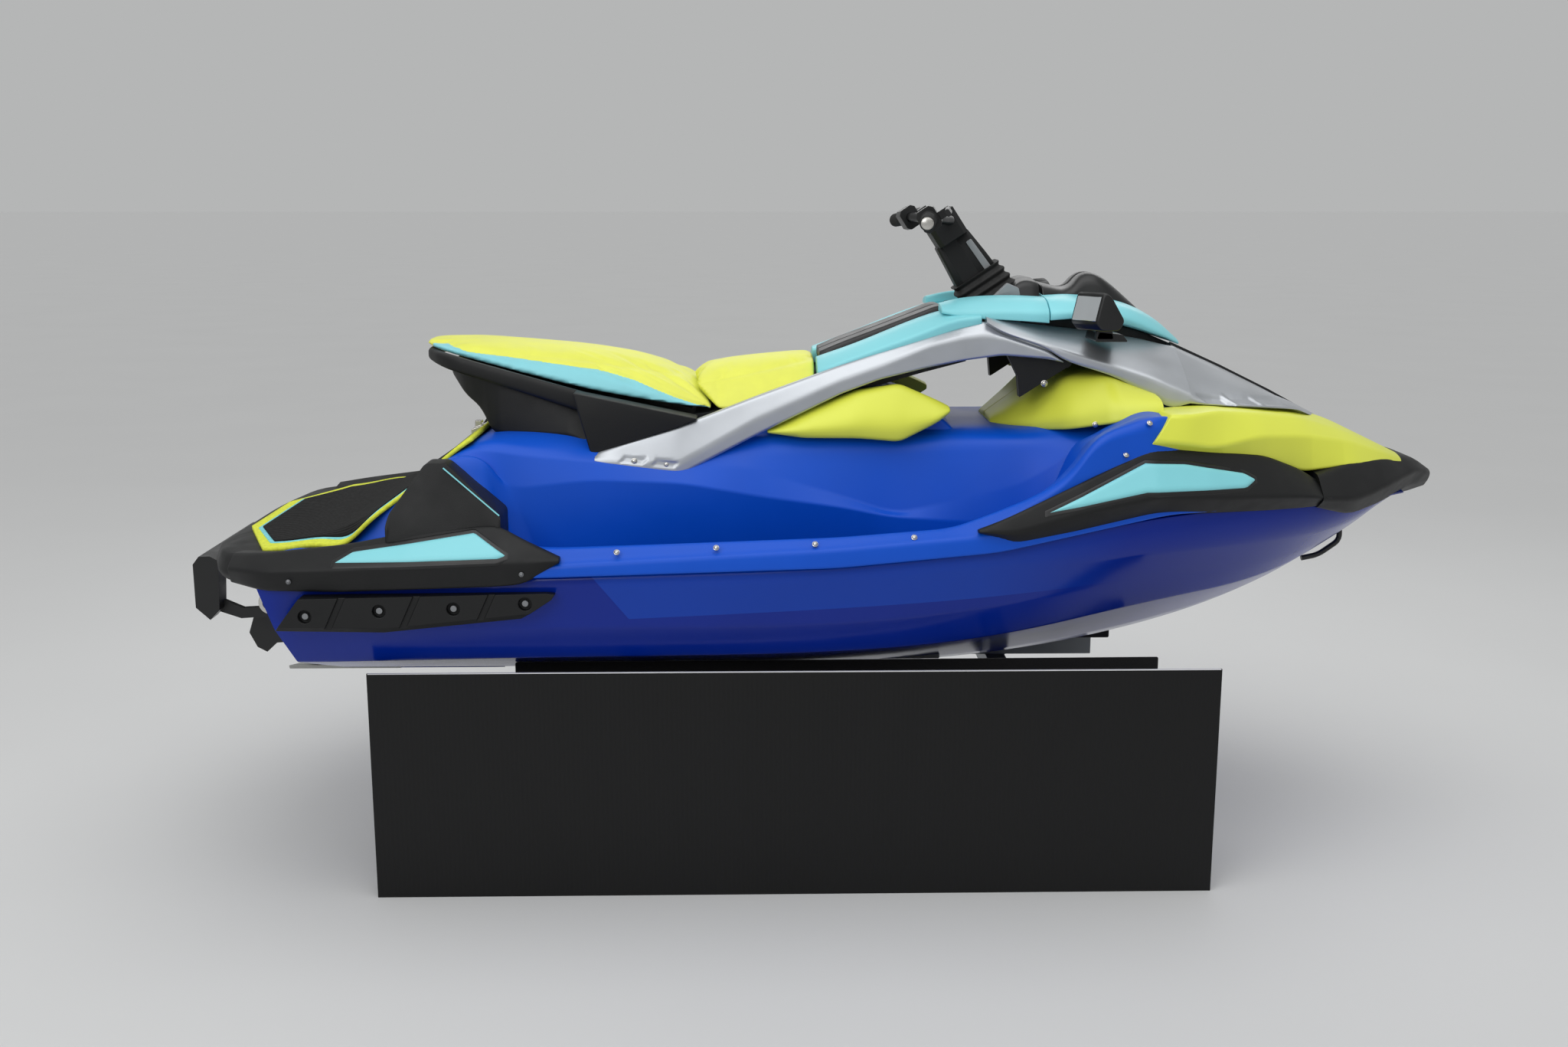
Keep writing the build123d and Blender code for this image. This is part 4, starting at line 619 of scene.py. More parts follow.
def pressed(rings, recess):
    # parallelogram recesses: a point goes in by depth s(d) where d is how far inside the slanted outline it lies
    x, z = rings[..., 0] * 1000, rings[..., 2] * 1000
    normal = unit(np.cross(np.gradient(rings, axis=1), np.gradient(rings, axis=0)))
    if np.mean(normal[..., 1] * (rings[..., 1] - rings[..., 1].mean())) < 0:
        normal = -normal
    amount = np.zeros(x.shape)
    for place in recess["places"]:
        # u runs along the recess, v across it; the edge is the smooth step 3t^2 - 2t^3
        u = x - place[0] - recess["rake"] * (z - place[1])
        v = z - place[1] - recess["lean"] * (x - place[0])
        inside = np.minimum(recess["size"][0] - np.abs(u), recess["size"][1] - np.abs(v)) / recess["edge"]
        inside = np.clip(inside, 0, 1)
        amount = np.maximum(amount, inside * inside * (3 - 2 * inside))
    # only where the surface looks outwards
    amount = amount * np.clip((normal[..., 1] - 0.15) / 0.4, 0, 1)
    return rings - normal * (amount * recess["depth"] / 1000)[..., None]


def spread(step, spacing, closed):
    # even distances along a chain of steps in metres: the step each falls in, and how far along it
    walk = np.concatenate([[0], np.cumsum(step)])
    count = int(walk[-1] * 1000 / spacing) + 2 - closed
    at = np.linspace(0, walk[-1], count)[:count - closed]
    index = np.clip(np.searchsorted(walk, at, side="right") - 1, 0, len(walk) - 2)
    return index, (at - walk[index]) / np.maximum(walk[index + 1] - walk[index], 1e-9)


def refined(rings, around, along):
    # points at even distances round each section and sections at even distances, so that relief has room
    index, share = spread(np.linalg.norm(np.roll(rings, -1, 1) - rings, axis=-1).mean(0), around, True)
    ring, share = np.concatenate([rings, rings[:, :1]], axis=1), share[:, None]
    rings = ring[:, index] * (1 - share) + ring[:, index + 1] * share
    index, share = spread(np.linalg.norm(rings[1:] - rings[:-1], axis=-1).mean(1), along, False)
    share = share[:, None, None]
    return rings[index] * (1 - share) + rings[index + 1] * share


arch = {
    # x, outer half-breadth, thickness, lower, ridge and upper heights
    "rows": [
        (-513, 324, 30, 940, 946, 956), (-501, 324, 34, 932, 942, 962), (-336, 318, 44, 906, 935, 1012),
        (-164, 290, 44, 992, 1030, 1075), (25, 262, 44, 1080, 1110, 1141), (108, 258, 44, 1110, 1140, 1168),
        (216, 256, 44, 1136, 1186, 1203), (287, 256, 44, 1150, 1202, 1224), (338, 256, 44, 1157, 1206, 1236),
        (376, 257, 44, 1162, 1202, 1210), (472, 260, 40, 1154, 1170, 1178), (507, 262, 34, 1147, 1149, 1151),
    ],
    "recess": {"places": [(-430, 943), (-361, 935)], "size": (30, 10), "depth": 4, "edge": 6, "rake": 1.0,
               "lean": -0.12}, "grid": (3.2, 3.2), "insets": (4, 22), "loft": ([2, 6, 10, 7, 2], 12),
}
foot, head = arch["insets"]
archRings = loft([(x, [(outer - thick, lower), (outer - foot, lower), (outer, ridge), (outer - head, upper),
                       (outer - thick, upper)]) for x, outer, thick, lower, ridge, upper in arch["rows"]],
                 *arch["loft"])
archRings = pressed(refined(archRings, *arch["grid"]), arch["recess"])
addShape("arch_covers", [archRings], silverPaint, "arches", angle=48)

cowl = {
    # x, lower edge, ridge and upper edge; the front rows have the crown's height too
    "arm": [
        (339, (256, 1234), (250, 1240), (212, 1242)), (376, (257, 1211), (254, 1216), (206, 1238)),
        (472, (260, 1179), (262, 1184), (178, 1224)), (507, (262, 1152), (264, 1173), (170, 1221)),
        (620, (272, 1118), (276, 1140), (156, 1205)), (698, (286, 1075), (286, 1117), (146, 1192)),
        (736, (294, 1050), (290, 1100), (140, 1182)),
        (782, (296, 1062), (292, 1082), (132, 1172)),
    ],
    "front": [
        (778, (296, 1062), (292, 1082), (132, 1172), 1176), (817, (298, 1058), (294, 1063), (124, 1152), 1160),
        (924, (284, 1052), (276, 1058), (110, 1102), 1113), (1043, (214, 1038), (200, 1044), (80, 1050), 1055),
        (1138, (70, 1000), (62, 1003), (30, 1003), 1004),
    ],
    "recess": {"places": [(838, 1068), (906, 1065), (976, 1058)], "size": (27, 9), "depth": 9, "edge": 6,
               "rake": -1.6, "lean": -0.12}, "grid": (3.4, 3.4), "armGrid": (5, 8), "wall": 12, "bulge": (5, 6),
    "armLoft": ([2, 7, 60, 4, 2, 30, 6, 2], 40), "frontLoft": ([2, 7, 60, 24, 1, 1, 20, 30, 6, 2], 40),
}


def cowlSection(row):
    # outer line from the lower edge up, then the inner line back down a wall's thickness behind
    x, low, ridge, top, *crown = row
    t, (outward, upward) = cowl["wall"], cowl["bulge"]
    bulge = ((ridge[0] + top[0]) / 2 + outward, (ridge[1] + top[1]) / 2 + upward)
    outer, inner = [low, ridge, bulge, top], [(top[0], top[1] - t), (bulge[0] - t, bulge[1] - t),
                                              (ridge[0] - t, ridge[1] - t), (low[0] - t, low[1] - 1)]
    if crown:
        outer, inner = outer + [(0, crown[0])], [(0, crown[0] - t)] + inner
    return x, outer + inner


armRings, frontRings = (loft([cowlSection(row) for row in cowl[part]], *cowl[part + "Loft"])
                        for part in ("arm", "front"))
addShape("cowl_arms", [refined(armRings, *cowl["armGrid"])], silverPaint, "front_cowl", angle=48)
frontRings = pressed(refined(frontRings, *cowl["grid"]), cowl["recess"])
addShape("cowl_front", [frontRings], silverPaint, "front_cowl", angle=48)
print("arches and cowl made")

addCovers({
    # the fender's tail is cut on a slant, less and less towards the front
    "fender_panels": {"node": "fenders", "material": limePlastic, "loft": ([4, 8, 9, 14, 20, 4], 30, 6, 7),
                      "ease": (4, 5), "slant": (0.72, 1000, 860, 200), "sections": [
        (658, [(380, 900), (450, 984), (478, 1004), (456, 1058), (300, 1054), (300, 900)]),
        (720, [(360, 900), (448, 982), (470, 1000), (440, 1056), (280, 1054), (280, 900)]),
        (800, [(300, 900), (420, 968), (440, 986), (392, 1058), (240, 1056), (240, 900)]),
        (909, [(250, 900), (372, 954), (384, 1002), (334, 1046), (160, 1052), (160, 900)]),
        (1030, [(180, 900), (310, 912), (308, 992), (256, 1028), (70, 1040), (70, 900)]),
        (1160, [(120, 900), (266, 920), (232, 968), (180, 986), (48, 1002), (48, 900)]),
        (1316, [(60, 880), (150, 908), (138, 917), (110, 924), (44, 926), (44, 880)]),
    ]},
    "knee_pad_covers": {"node": "knee_pads", "material": limePlastic, "loft": ([3, 10, 34, 26, 4], 16, 6, 7),
                        "ease": (6, 6), "inner": 216, "rows": [
        (-140, 996, (268, 994), (276, 1000), (240, 1006), 1006),
        (-60, 985, (284, 985), (294, 1010), (252, 1038), 1040),
        (60, 984, (286, 984), (296, 1022), (254, 1084), 1086),
        (150, 976, (284, 976), (292, 1018), (250, 1104), 1096),
        (232, 1018, (276, 1016), (282, 1032), (248, 1068), 1060),
        (262, 1036, (258, 1036), (264, 1044), (244, 1052), 1046),
    ]},
    "shroud_covers": {"node": "shrouds", "material": limePlastic, "loft": ([3, 10, 40, 30, 4], 22, 6, 7),
                      "ease": (6, 5), "rows": [
        (374, 985, (92, 985), (102, 996), (76, 1006), 1008),
        (440, 986, (186, 988), (200, 1012), (140, 1052), 1056),
        (520, 1000, (296, 1004), (300, 1040), (214, 1112), 1118),
        (606, 1020, (362, 1026), (348, 1068), (274, 1120), 1124),
        (706, 1030, (372, 1050), (354, 1074), (284, 1082), 1086),
    ]},
    "tank_panel_covers": {"node": "tank_panels", "material": tealPlastic, "loft": ([3, 4, 9, 30, 6], 50, 6, 7),
                          "ease": (3, 3), "inner": 95, "rows": [
        (-28, 1112, (224, 1112), (226, 1126), (158, 1152), 1146),
        (60, 1140, (230, 1140), (234, 1160), (168, 1183), 1176),
        (190, 1190, (236, 1184), (239, 1206), (176, 1235), 1230),
        (268, 1220, (237, 1216), (240, 1240), (180, 1259), 1256),
        (330, 1230, (237, 1228), (239, 1246), (182, 1253), 1252),
    ]},
    "hood_side_covers": {"node": "hood_sides", "material": tealPlastic, "loft": ([3, 4, 12, 30, 6], 50, 6, 7),
                         "ease": (3, 1), "inner": 130, "rows": [
        (246, 1252, (206, 1250), (205, 1258), (176, 1268), 1270),
        (304, 1258, (226, 1240), (223, 1255), (186, 1280), 1284),
        (400, 1262, (230, 1236), (229, 1258), (188, 1282), 1288),
        (479, 1250, (232, 1230), (231, 1254), (188, 1279), 1284),
    ]},
    "dash_cover": {"node": "dash", "material": blackSatin, "loft": ([3, 8, 14, 4], 50, 6, 7), "ease": (4, 4),
                   "rows": [
        (285, 1240, (118, 1240), (112, 1260), 1263),
        (340, 1240, (126, 1240), (118, 1266), 1270),
        (404, 1240, (128, 1240), (112, 1290), 1296),
        (438, 1240, (130, 1240), (104, 1320), 1328),
        (476, 1236, (130, 1236), (102, 1312), 1320),
    ]},
    "bow_lid_cover": {"node": "store_lid", "material": tealPlastic, "body": "bow_lid", "ease": (1.5, 5),
                      "loft": ([2, 20, 4, 14, 30, 40, 20], 46, 5, 7), "rows": [
        (482, 1254, (150, 1246), (230, 1236), (230, 1254), (188, 1279), (90, 1287), 1290),
        (553, 1252, (150, 1245), (220, 1241), (224, 1255), (186, 1277), (90, 1286), 1290),
        (656, 1222, (140, 1220), (190, 1226), (196, 1241), (168, 1267), (86, 1274), 1278),
        (740, 1195, (110, 1194), (150, 1199), (152, 1208), (120, 1233), (60, 1240), 1244),
        (806, 1172, (60, 1171), (82, 1171), (86, 1175), (70, 1182), (34, 1186), 1188),
    ]},
    "instrument_pod": {"node": "lid_cap", "material": blackSatin, "body": "bow_lid", "ease": (5, 3), "angle": 34,
                       "loft": ([2, 4, 26, 20], 30, 6, 6), "rows": [
        (484, 1262, (120, 1262), (100, 1306), 1314),
        (552, 1268, (86, 1268), (70, 1290), 1297),
        (580, 1268, (73, 1268), (62, 1329), 1334),
        (618, 1262, (78, 1262), (60, 1330), 1336),
        (660, 1250, (78, 1250), (56, 1298), 1306),
        (716, 1236, (60, 1236), (42, 1252), 1256),
    ]},
    "glovebox_lid_cover": {"node": "glovebox_lid", "material": blackSatin, "body": "glove_lid", "ease": (3, 3),
                           "loft": ([1, 2, 3, 10, 24, 10], 16, 5, 5), "rows": [
        (-19, 1137, (90, 1137), (91, 1141), (88, 1156), (70, 1158), 1157),
        (23, 1143, (91, 1143), (92, 1148), (89, 1174), (72, 1176), 1174),
        (140, 1190, (91, 1190), (92, 1194), (89, 1217), (72, 1220), 1218),
        (251, 1238, (91, 1238), (92, 1242), (89, 1260), (72, 1262), 1260),
        (266, 1244, (91, 1244), (92, 1246), (89, 1256), (72, 1258), 1257),
    ]},
    "seat_support_shell": {"node": "seat_support", "material": blackTextured, "ease": (4, 2), "angle": 30,
                           "loft": ([2, 12, 10, 10], 22, 5, 5), "rows": [
        (-846, 1106, (128, 1110), (156, 1140), 1148),
        (-815, 1062, (158, 1068), (188, 1132), 1141),
        (-780, 1036, (180, 1044), (204, 1121), 1131),
        (-748, 984, (200, 984), (214, 1111), 1123),
        (-560, 986, (262, 986), (226, 1060), 1075),
        (-520, 980, (278, 955), (228, 1049), 1065),
        (-302, 1000, (236, 1000), (220, 1012), 1016),
    ]},
})
print("panels and lids made")

rail = {
    # a rail round the seat's tail: x, half-breadth, height of its middle, half-width and half-height
    "path": [(-548, 236, 1062, 13, 22), (-700, 230, 1108, 14, 18), (-836, 198, 1144, 15, 16),
             (-888, 130, 1155, 12, 12), (-901, 60, 1156, 10, 11), (-901, 0, 1156, 10, 11)],
    "bend": 46, "steps": 8, "segments": 24, "squareness": 0.6,
}


def handleRail():
    # an oval section swept along the softened half path; the sweep's sideways is its tangent x up
    path = np.array(rail["path"], float)
    curve = softened(path[:, :3] / 1000, rail["bend"], rail["steps"], False)
    walk, knots = (np.concatenate([[0], np.cumsum(np.linalg.norm(np.diff(line, axis=0), axis=1))])
                   for line in (curve, path[:, :3]))
    wide, tall = (np.interp(walk / walk[-1], knots / knots[-1], path[:, part])[:, None, None] / 1000
                  for part in (3, 4))
    tangent = unit(np.gradient(curve, axis=0))
    side = unit(np.cross(tangent, (0, 0, 1.0)))
    rise = np.cross(side, tangent)
    turn = np.linspace(0, 2 * pi, rail["segments"], endpoint=False)
    # cos and sin keep their sign and are raised to a power below 1, which squares the circle a little
    across, up = ((np.sign(part) * np.abs(part) ** rail["squareness"])[None, :, None]
                  for part in (np.cos(turn), np.sin(turn)))
    return curve[:, None] + side[:, None] * across * wide + rise[:, None] * up * tall


addShape("grab_rail", [handleRail()], blackTextured, "grab_handle", angle=40)
print("rail made")


def turned(profile, place, axis, segments):
    # a profile [(radius, height), ...] turned about an axis through a place
    axis = unit(np.array(axis, float))
    side = unit(np.cross(axis, (0, 0, 1) if abs(axis[2]) < 0.9 else (1, 0, 0)))
    turn = np.linspace(0, 2 * pi, segments, endpoint=False)[:, None]
    circle = np.cos(turn) * side + np.sin(turn) * np.cross(axis, side)
    radius, height = np.array(profile, float).T / 1000
    return np.array(place) / 1000 + radius[:, None, None] * circle + height[:, None, None] * axis


def tube(points, radius, bend, segments=16, steps=6):
    # a circle carried along a path with rounded corners, kept square to it
    path = softened(np.array(points, float) / 1000, bend, steps, False)
    ahead = unit(np.gradient(path, axis=0))
    side = unit(np.cross(ahead, (0.31, 0.22, 0.93)))
    other = np.cross(ahead, side)
    turn = np.linspace(0, 2 * pi, segments, endpoint=False)[:, None]
    return path[:, None] + radius / 1000 * (np.cos(turn) * side[:, None] + np.sin(turn) * other[:, None])


def softSlab(outline, y0, y1, corner, edge, steps=5):
    # an outline [(x, z), ...] softened at its corners, carried from y0 to y1 with rounded edges
    rings = np.array([[(x, y, z) for x, z in outline] for y in (y0, y1)], float) / 1000
    return eased(softened(rings, corner, steps), edge, edge)


def ribbon(path, across, up):
    # a small rectangle carried along a path; across and up are its half sizes as vectors in mm
    path, across, up = (np.array(part, float) / 1000 for part in (path, across, up))
    return np.stack([path - across - up, path + across - up, path + across + up, path - across + up], axis=1)


def domeProfile(radius):
    # a flange, then a low dome
    return [(radius * 1.25, -2), (radius * 1.25, 0.6), (radius * 1.12, 1), (radius, 1.2), (radius * 0.92, 2.4),
            (radius * 0.7, 3.5), (radius * 0.4, 4.1), (radius * 0.28, 4.2), (radius * 0.24, 3.0), (0.02, 2.9)]


seats = {
    # half sections from the middle of the base to the middle of the top
    "rear": [
        (-914, 1170, (66, 1174), (56, 1182), 1186),
        (-868, 1158, (146, 1164), (146, 1180), 1188),
        (-720, 1130, (200, 1130), (173, 1160), 1169),
        (-560, 1088, (212, 1090), (177, 1138), 1159),
        (-400, 1048, (218, 1054), (157, 1124), 1147),
        (-325, 1037, (220, 1041), (147, 1098), 1114)],
    "front": [
        (-316, 1037, (218, 1037), (145, 1096), 1112),
        (-248, 1039, (212, 1039), (137, 1108), 1122),
        (-145, 1071, (206, 1071), (123, 1126), 1140),
        (-44, 1103, (202, 1103), (107, 1144), 1151),
        (-33, 1106, (196, 1106), (101, 1142), 1148)],
    "voxel": 6, "pressure": 4, "cap": 22, "frames": 20, "heldBand": 12,
    # seams by length and height along the side, the lower one being where the teal band begins
    "upperSeam": [(-905, 1186), (-828, 1170), (-737, 1164), (-532, 1143), (-326, 1108), (-291, 1092),
                  (-145, 1121), (-30, 1146)],
    "bandSeam": [(-905, 1192), (-808, 1169), (-649, 1146), (-517, 1127), (-432, 1103), (-343, 1068),
                 (-236, 1034)],
    "seamDepth": 3.2, "seamWidth": 5, "sideFrom": 60, "seamFade": 10,
    "loft": (16, 60), "ease": (12, 5), "tealFrom": {"rear": 90, "front": 400},
    # the joint between the pads slants about this height, and the slant fades out from one length to the other
    "jointLevel": 1108, "slant": {"rear": (-560, -330), "front": (-120, -316)},
}


def readBack(items, key):
    # a vector of every vertex or face, one in each row
    flat = np.empty(len(items) * 3)
    items.foreach_get(key, flat)
    return flat.reshape(-1, 3)


def applyModifiers(piece):
    mesh = bpy.data.meshes.new_from_object(piece.evaluated_get(bpy.context.evaluated_depsgraph_get()))
    piece.modifiers.clear()
    piece.data = mesh
    return mesh


def swell(piece, base):
    # the pad swells like stuffed vinyl, held along its base, and no point moves further than the cap
    remesh = piece.modifiers.new("voxels", "REMESH")
    remesh.mode, remesh.voxel_size = "VOXEL", seats["voxel"] / 1000
    start = readBack(applyModifiers(piece).vertices, "co")
    low = np.interp(start[:, 0], *np.array(base).T / 1000) + seats["heldBand"] / 1000
    piece.vertex_groups.new(name="base").add(np.flatnonzero(start[:, 2] < low).tolist(), 1.0, "REPLACE")
    cloth = piece.modifiers.new("swelling", "CLOTH")
    cloth.settings.use_pressure, cloth.settings.uniform_pressure_force = True, seats["pressure"]
    cloth.settings.effector_weights.gravity = 0
    cloth.settings.vertex_group_mass = "base"
    for step in range(1, seats["frames"] + 1):
        bpy.context.scene.frame_set(step)
    mesh = applyModifiers(piece)
    bpy.context.scene.frame_set(1)
    moved = readBack(mesh.vertices, "co") - start
    far = np.maximum(np.linalg.norm(moved, axis=1, keepdims=True), 1e-9)
    mesh.vertices.foreach_set("co", (start + moved * np.minimum(1, seats["cap"] / 1000 / far)).ravel())
    piece.vertex_groups.clear()
    smooth = piece.modifiers.new("finer", "SUBSURF")
    smooth.levels = smooth.render_levels = 1
    applyModifiers(piece)


def sewSeams(mesh):
    # each seam is a groove: the surface sinks by a bell curve of its distance from the line
    places, normals = readBack(mesh.vertices, "co"), readBack(mesh.vertices, "normal")
    side = np.clip((np.abs(places[:, 1]) * 1000 - seats["sideFrom"]) / seats["seamFade"], 0, 1)
    sunk = np.zeros(len(places))
    for line in (seats["upperSeam"], seats["bandSeam"]):
        x, z = np.array(line).T / 1000
        gap = (places[:, 2] - np.interp(places[:, 0], x, z)) * 1000
        reach = (places[:, 0] > x[0]) & (places[:, 0] < x[-1])
        sunk += np.exp(-(gap / seats["seamWidth"]) ** 2) * reach * side
    places -= normals * (sunk * seats["seamDepth"] / 1000)[:, None]
    mesh.vertices.foreach_set("co", places.ravel())


def colourBand(mesh, corner):
    # the side below the band's seam is teal
    mesh.materials.append(tealVinyl)
    centres = readBack(mesh.polygons, "center")
    x, z = np.array(seats["bandSeam"]).T / 1000
    teal = (centres[:, 2] < np.interp(centres[:, 0], x, z)) & (np.abs(centres[:, 1]) > corner / 1000)
    mesh.polygons.foreach_set("material_index", teal.astype(int))


for part, node in (("rear", "seat_rear"), ("front", "seat_front")):
    halves = halfSections(seats[part])
    full = [(x, half + [(-y, z) for y, z in reversed(half[1:-1])]) for x, half in halves]
    rings = eased(loft(full, *seats["loft"]), *seats["ease"])
    fadeOut, fadeIn = seats["slant"][part]
    slanted = np.clip((rings[..., 0] * 1000 - fadeOut) / (fadeIn - fadeOut), 0, 1)
    rings[..., 0] += (seats["jointLevel"] / 1000 - rings[..., 2]) * slanted
    cushion = addShape(part + "_seat_pad", [rings], limeVinyl, node, mirrored=False, angle=60)
    swell(cushion, [(x, half[1][1]) for x, half in halves])
    colourBand(cushion.data, seats["tealFrom"][part])
    sewSeams(cushion.data)
    cushion.data.shade_smooth()
print("seats made")

steering = {
    "origin": (345, 0, 1300), "out": (0.835, 0, 0.55), "up": (-0.55, 0, 0.835),
    "gripEnd": (-47, -375, 207), "barBend": (-21, -188, 201), "gripLength": 125, "gripRadius": 16.6,
    "gripBore": 11.2, "gripFlange": 2.6, "gripRing": 0.7, "gripRingSpacing": 6.2,
    "capProfile": [(0.02, -9.6), (9, -9.4), (11.5, -8.4), (12, -6.4), (12, -4), (10.4, -3.6), (10.4, -2.6),
                   (13.2, -2.2), (13.2, 0.3), (0.02, 0.3)],
    # the bellows: height, half-length and half-breadth at its foot and top, its middle, its waves and their depth
    "collar": [(-34, 66, 54), (24, 58, 44)], "collarMiddle": 14, "collarRings": 3, "collarWave": 2.6,
    "collarRows": 33, "collarRound": (18, 6), "coverRound": (9, 5), "coverEase": (2, 6),
    # the column's cover: height up the column, rear and front edge, half-breadth
    "cover": [(3, -40, 66, 34), (62, -35, 60, 33), (124, -31, 53, 31)],
}


def onSteering(x, y, z):
    origin, out, up = (np.array(steering[part]) for part in ("origin", "out", "up"))
    return origin + x * out + y * np.array((0, 1, 0)) + z * up


def makeGrips():
    # rubber sleeves with raised rings and a flange at the inner end
    end, bend = onSteering(*steering["gripEnd"]), onSteering(*steering["barBend"])
    bore, radius, length, flange, ring, spacing = (steering["grip" + part] for part in (
        "Bore", "Radius", "Length", "Flange", "Ring", "RingSpacing"))
    profile = [(bore, 0.5), (radius - 1.5, 0.5)]
    profile += [(radius - ring + ring * cos(place * 2 * pi / spacing), place)
                for place in np.linspace(2, length - 6, 120)]
    profile += [(radius + flange, length - 5), (radius + flange, length - 1), (bore, length - 1)]
    addShape("grip_sleeves", [turned(profile, end, bend - end, 28)], blackRubber, "grips", "steering", capped=False)
    addShape("bar_end_caps", [turned(steering["capProfile"], end, bend - end, 28)], stainless, "bar_ends",
             "steering")


def makeCollar():
    # rubber bellows round the foot of the column: a rounded rectangle that waves in and out up its height
    (z0, halfX0, halfY0), (z1, halfX1, halfY1) = steering["collar"]
    places = np.linspace(0, 1, steering["collarRows"])
    wave = steering["collarWave"] * np.cos(places * steering["collarRings"] * 2 * pi)
    halfX, halfY = halfX0 + (halfX1 - halfX0) * places + wave, halfY0 + (halfY1 - halfY0) * places + wave
    corners = [onSteering(steering["collarMiddle"] + a * x, b * y, z)
               for x, y, z in zip(halfX, halfY, z0 + (z1 - z0) * places)
               for a, b in ((1, 1), (-1, 1), (-1, -1), (1, -1))]
    rings = softened(np.array(corners).reshape(-1, 4, 3) / 1000, *steering["collarRound"])
    collar = addShape("steering_collar", [rings], blackRubber, None, None, mirrored=False, angle=70)
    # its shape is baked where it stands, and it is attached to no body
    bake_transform(collar)


def makeColumnCover():
    # a moulded cover with a flat front, over the column
    corners = [onSteering(x, side * half, z) for z, rear, front, half in steering["cover"]
               for x, side in ((front, 1), (rear, 1), (rear, -1), (front, -1))]
    rings = softened(np.array(corners).reshape(-1, 4, 3) / 1000, *steering["coverRound"])
    rings = eased(rings, *steering["coverEase"])
    addShape("column_cover", [rings], blackTextured, None, "steering", mirrored=False)


makeGrips()
makeCollar()
makeColumnCover()
mirror = {
    # x runs short about its middle, and back by a share of how far y lies out from the inner edge
    "turn": 0.62, "slim": 0.68, "middle": 0.562, "inner": -0.336,
    # slabs: outline, the two sides, the rounding of corners and of edges
    "housing": ([(516, 1240), (536, 1301), (546, 1305), (566, 1295), (608, 1244), (594, 1224), (536, 1222)],
                -371, -301, 9, 7),
    "glass": ([(517.5, 1244), (534.6, 1295), (538, 1295), (521, 1243)], -366, -306, 1, 1.5),
    "arm": ([(561, 1197), (567, 1219), (621, 1213), (633, 1197)], -323, -213, 5, 3),
    "foot": ([(563, 1201), (567, 1238), (595, 1234), (603, 1201)], -323, -301, 5, 3),
}


def turnedOut(rings):
    # the mirror looks a little outwards: its outer edge stands further forward
    rings = rings.copy()
    rings[..., 0] = mirror["middle"] + (rings[..., 0] - mirror["middle"]) * mirror["slim"]
    rings[..., 0] -= (rings[..., 1] - mirror["inner"]) * mirror["turn"]
    return rings


addShape("mirror_housings", [turnedOut(softSlab(*mirror["housing"])), softSlab(*mirror["arm"]),
                             softSlab(*mirror["foot"])], blackSatin, "mirrors")
addShape("mirror_faces", [turnedOut(softSlab(*mirror["glass"]))], silvered, "mirror_glasses")
print("steering and mirrors made")

chock = {
    # a wedge whose outer face leans in by a share of the drop from a level
    "slab": ([(-929, 790), (-929, 836), (-922, 861), (-850, 961), (-808, 961), (-691, 857), (-691, 790)],
             -506, -393, 9, 6, 6),
    "face": (440, 1000, 0.38),
}
chockRings = softSlab(*chock["slab"])
faceY, faceLevel, faceLean = chock["face"]
chockRings[..., 1] = np.maximum(chockRings[..., 1],
                                -(faceY + (faceLevel - chockRings[..., 2] * 1000) * faceLean) / 1000)
addShape("foot_chock_pads", [chockRings], blackTextured, "foot_chocks", angle=40)

# CAD parts that keep their exact shape: rounding of the edges in mm, finish, and body where it isn't the craft
finishes = {
    "arch_struts": (4, blackTextured), "upper_frame": (3, blackTextured),
    "steering_pedestal": (4, blackTextured),
    "steering_column": (3, blackTextured, "steering"), "handlebar": (0, blackSatin, "steering"),
    "switch_housings": (2.5, blackSatin, "steering"), "control_levers": (1.5, blackSatin, "steering"),
    "footwell_mats": (1.5, blackFoam), "tow_hook": (1.5, stainless),
    "sponsons": (3, blackTextured), "sponson_bolts": (1.2, castAluminium),
    "stern_eyes": (1, stainless),
    "pump_housing": (1.2, castAluminium), "impeller": (0.8, stainless, "propulsor"),
    "steering_nozzle": (1.2, castAluminium, "nozzle"), "reverse_bucket": (2, blackSatin, "bucket"),
    "ride_plate": (1.5, brushedPlate), "intake_grate": (1, stainless),
    "boarding_step": (2, blackSatin, "step"), "step_brackets": (1.2, galvanised),
    "bunks": (4, bunkCarpet), "stand_frame": (2, galvanised),
    "skirt_board": (0.6, boardPrint), "engine": (3, castAluminium),
}
for node, finishing in finishes.items():
    edgedCopy(node, *finishing)
print("fittings finished")

# screws on the starboard side: places, the way they face, radius
screws = {
    "hull_screws": (stainless, [
        ([(-450, -545, 790), (-247, -547, 799), (-45, -548, 806), (158, -543, 818)], (0, -0.8, 0.6), 5),
        ([(650, -468, 1042), (599, -488, 979)], (0.2, -0.7, 0.7), 5), ([(566, -334, 1021)], (0, -1, 0.1), 5),
        ([(-428, -315, 941), (-359, -312, 933)], (0, -1, 0.1), 5.5), ([(471, -237, 1099)], (0, -1, 0), 6)]),
    "bumper_screws": (castAluminium, [([(-1122, -537, 729), (-643, -561, 748)], (0, -1, 0), 4)]),
}
for name, (material, groups) in screws.items():
    addShape(name, [turned(domeProfile(radius), place, facing, 18) for places, facing, radius in groups
                    for place in places], material, angle=40)

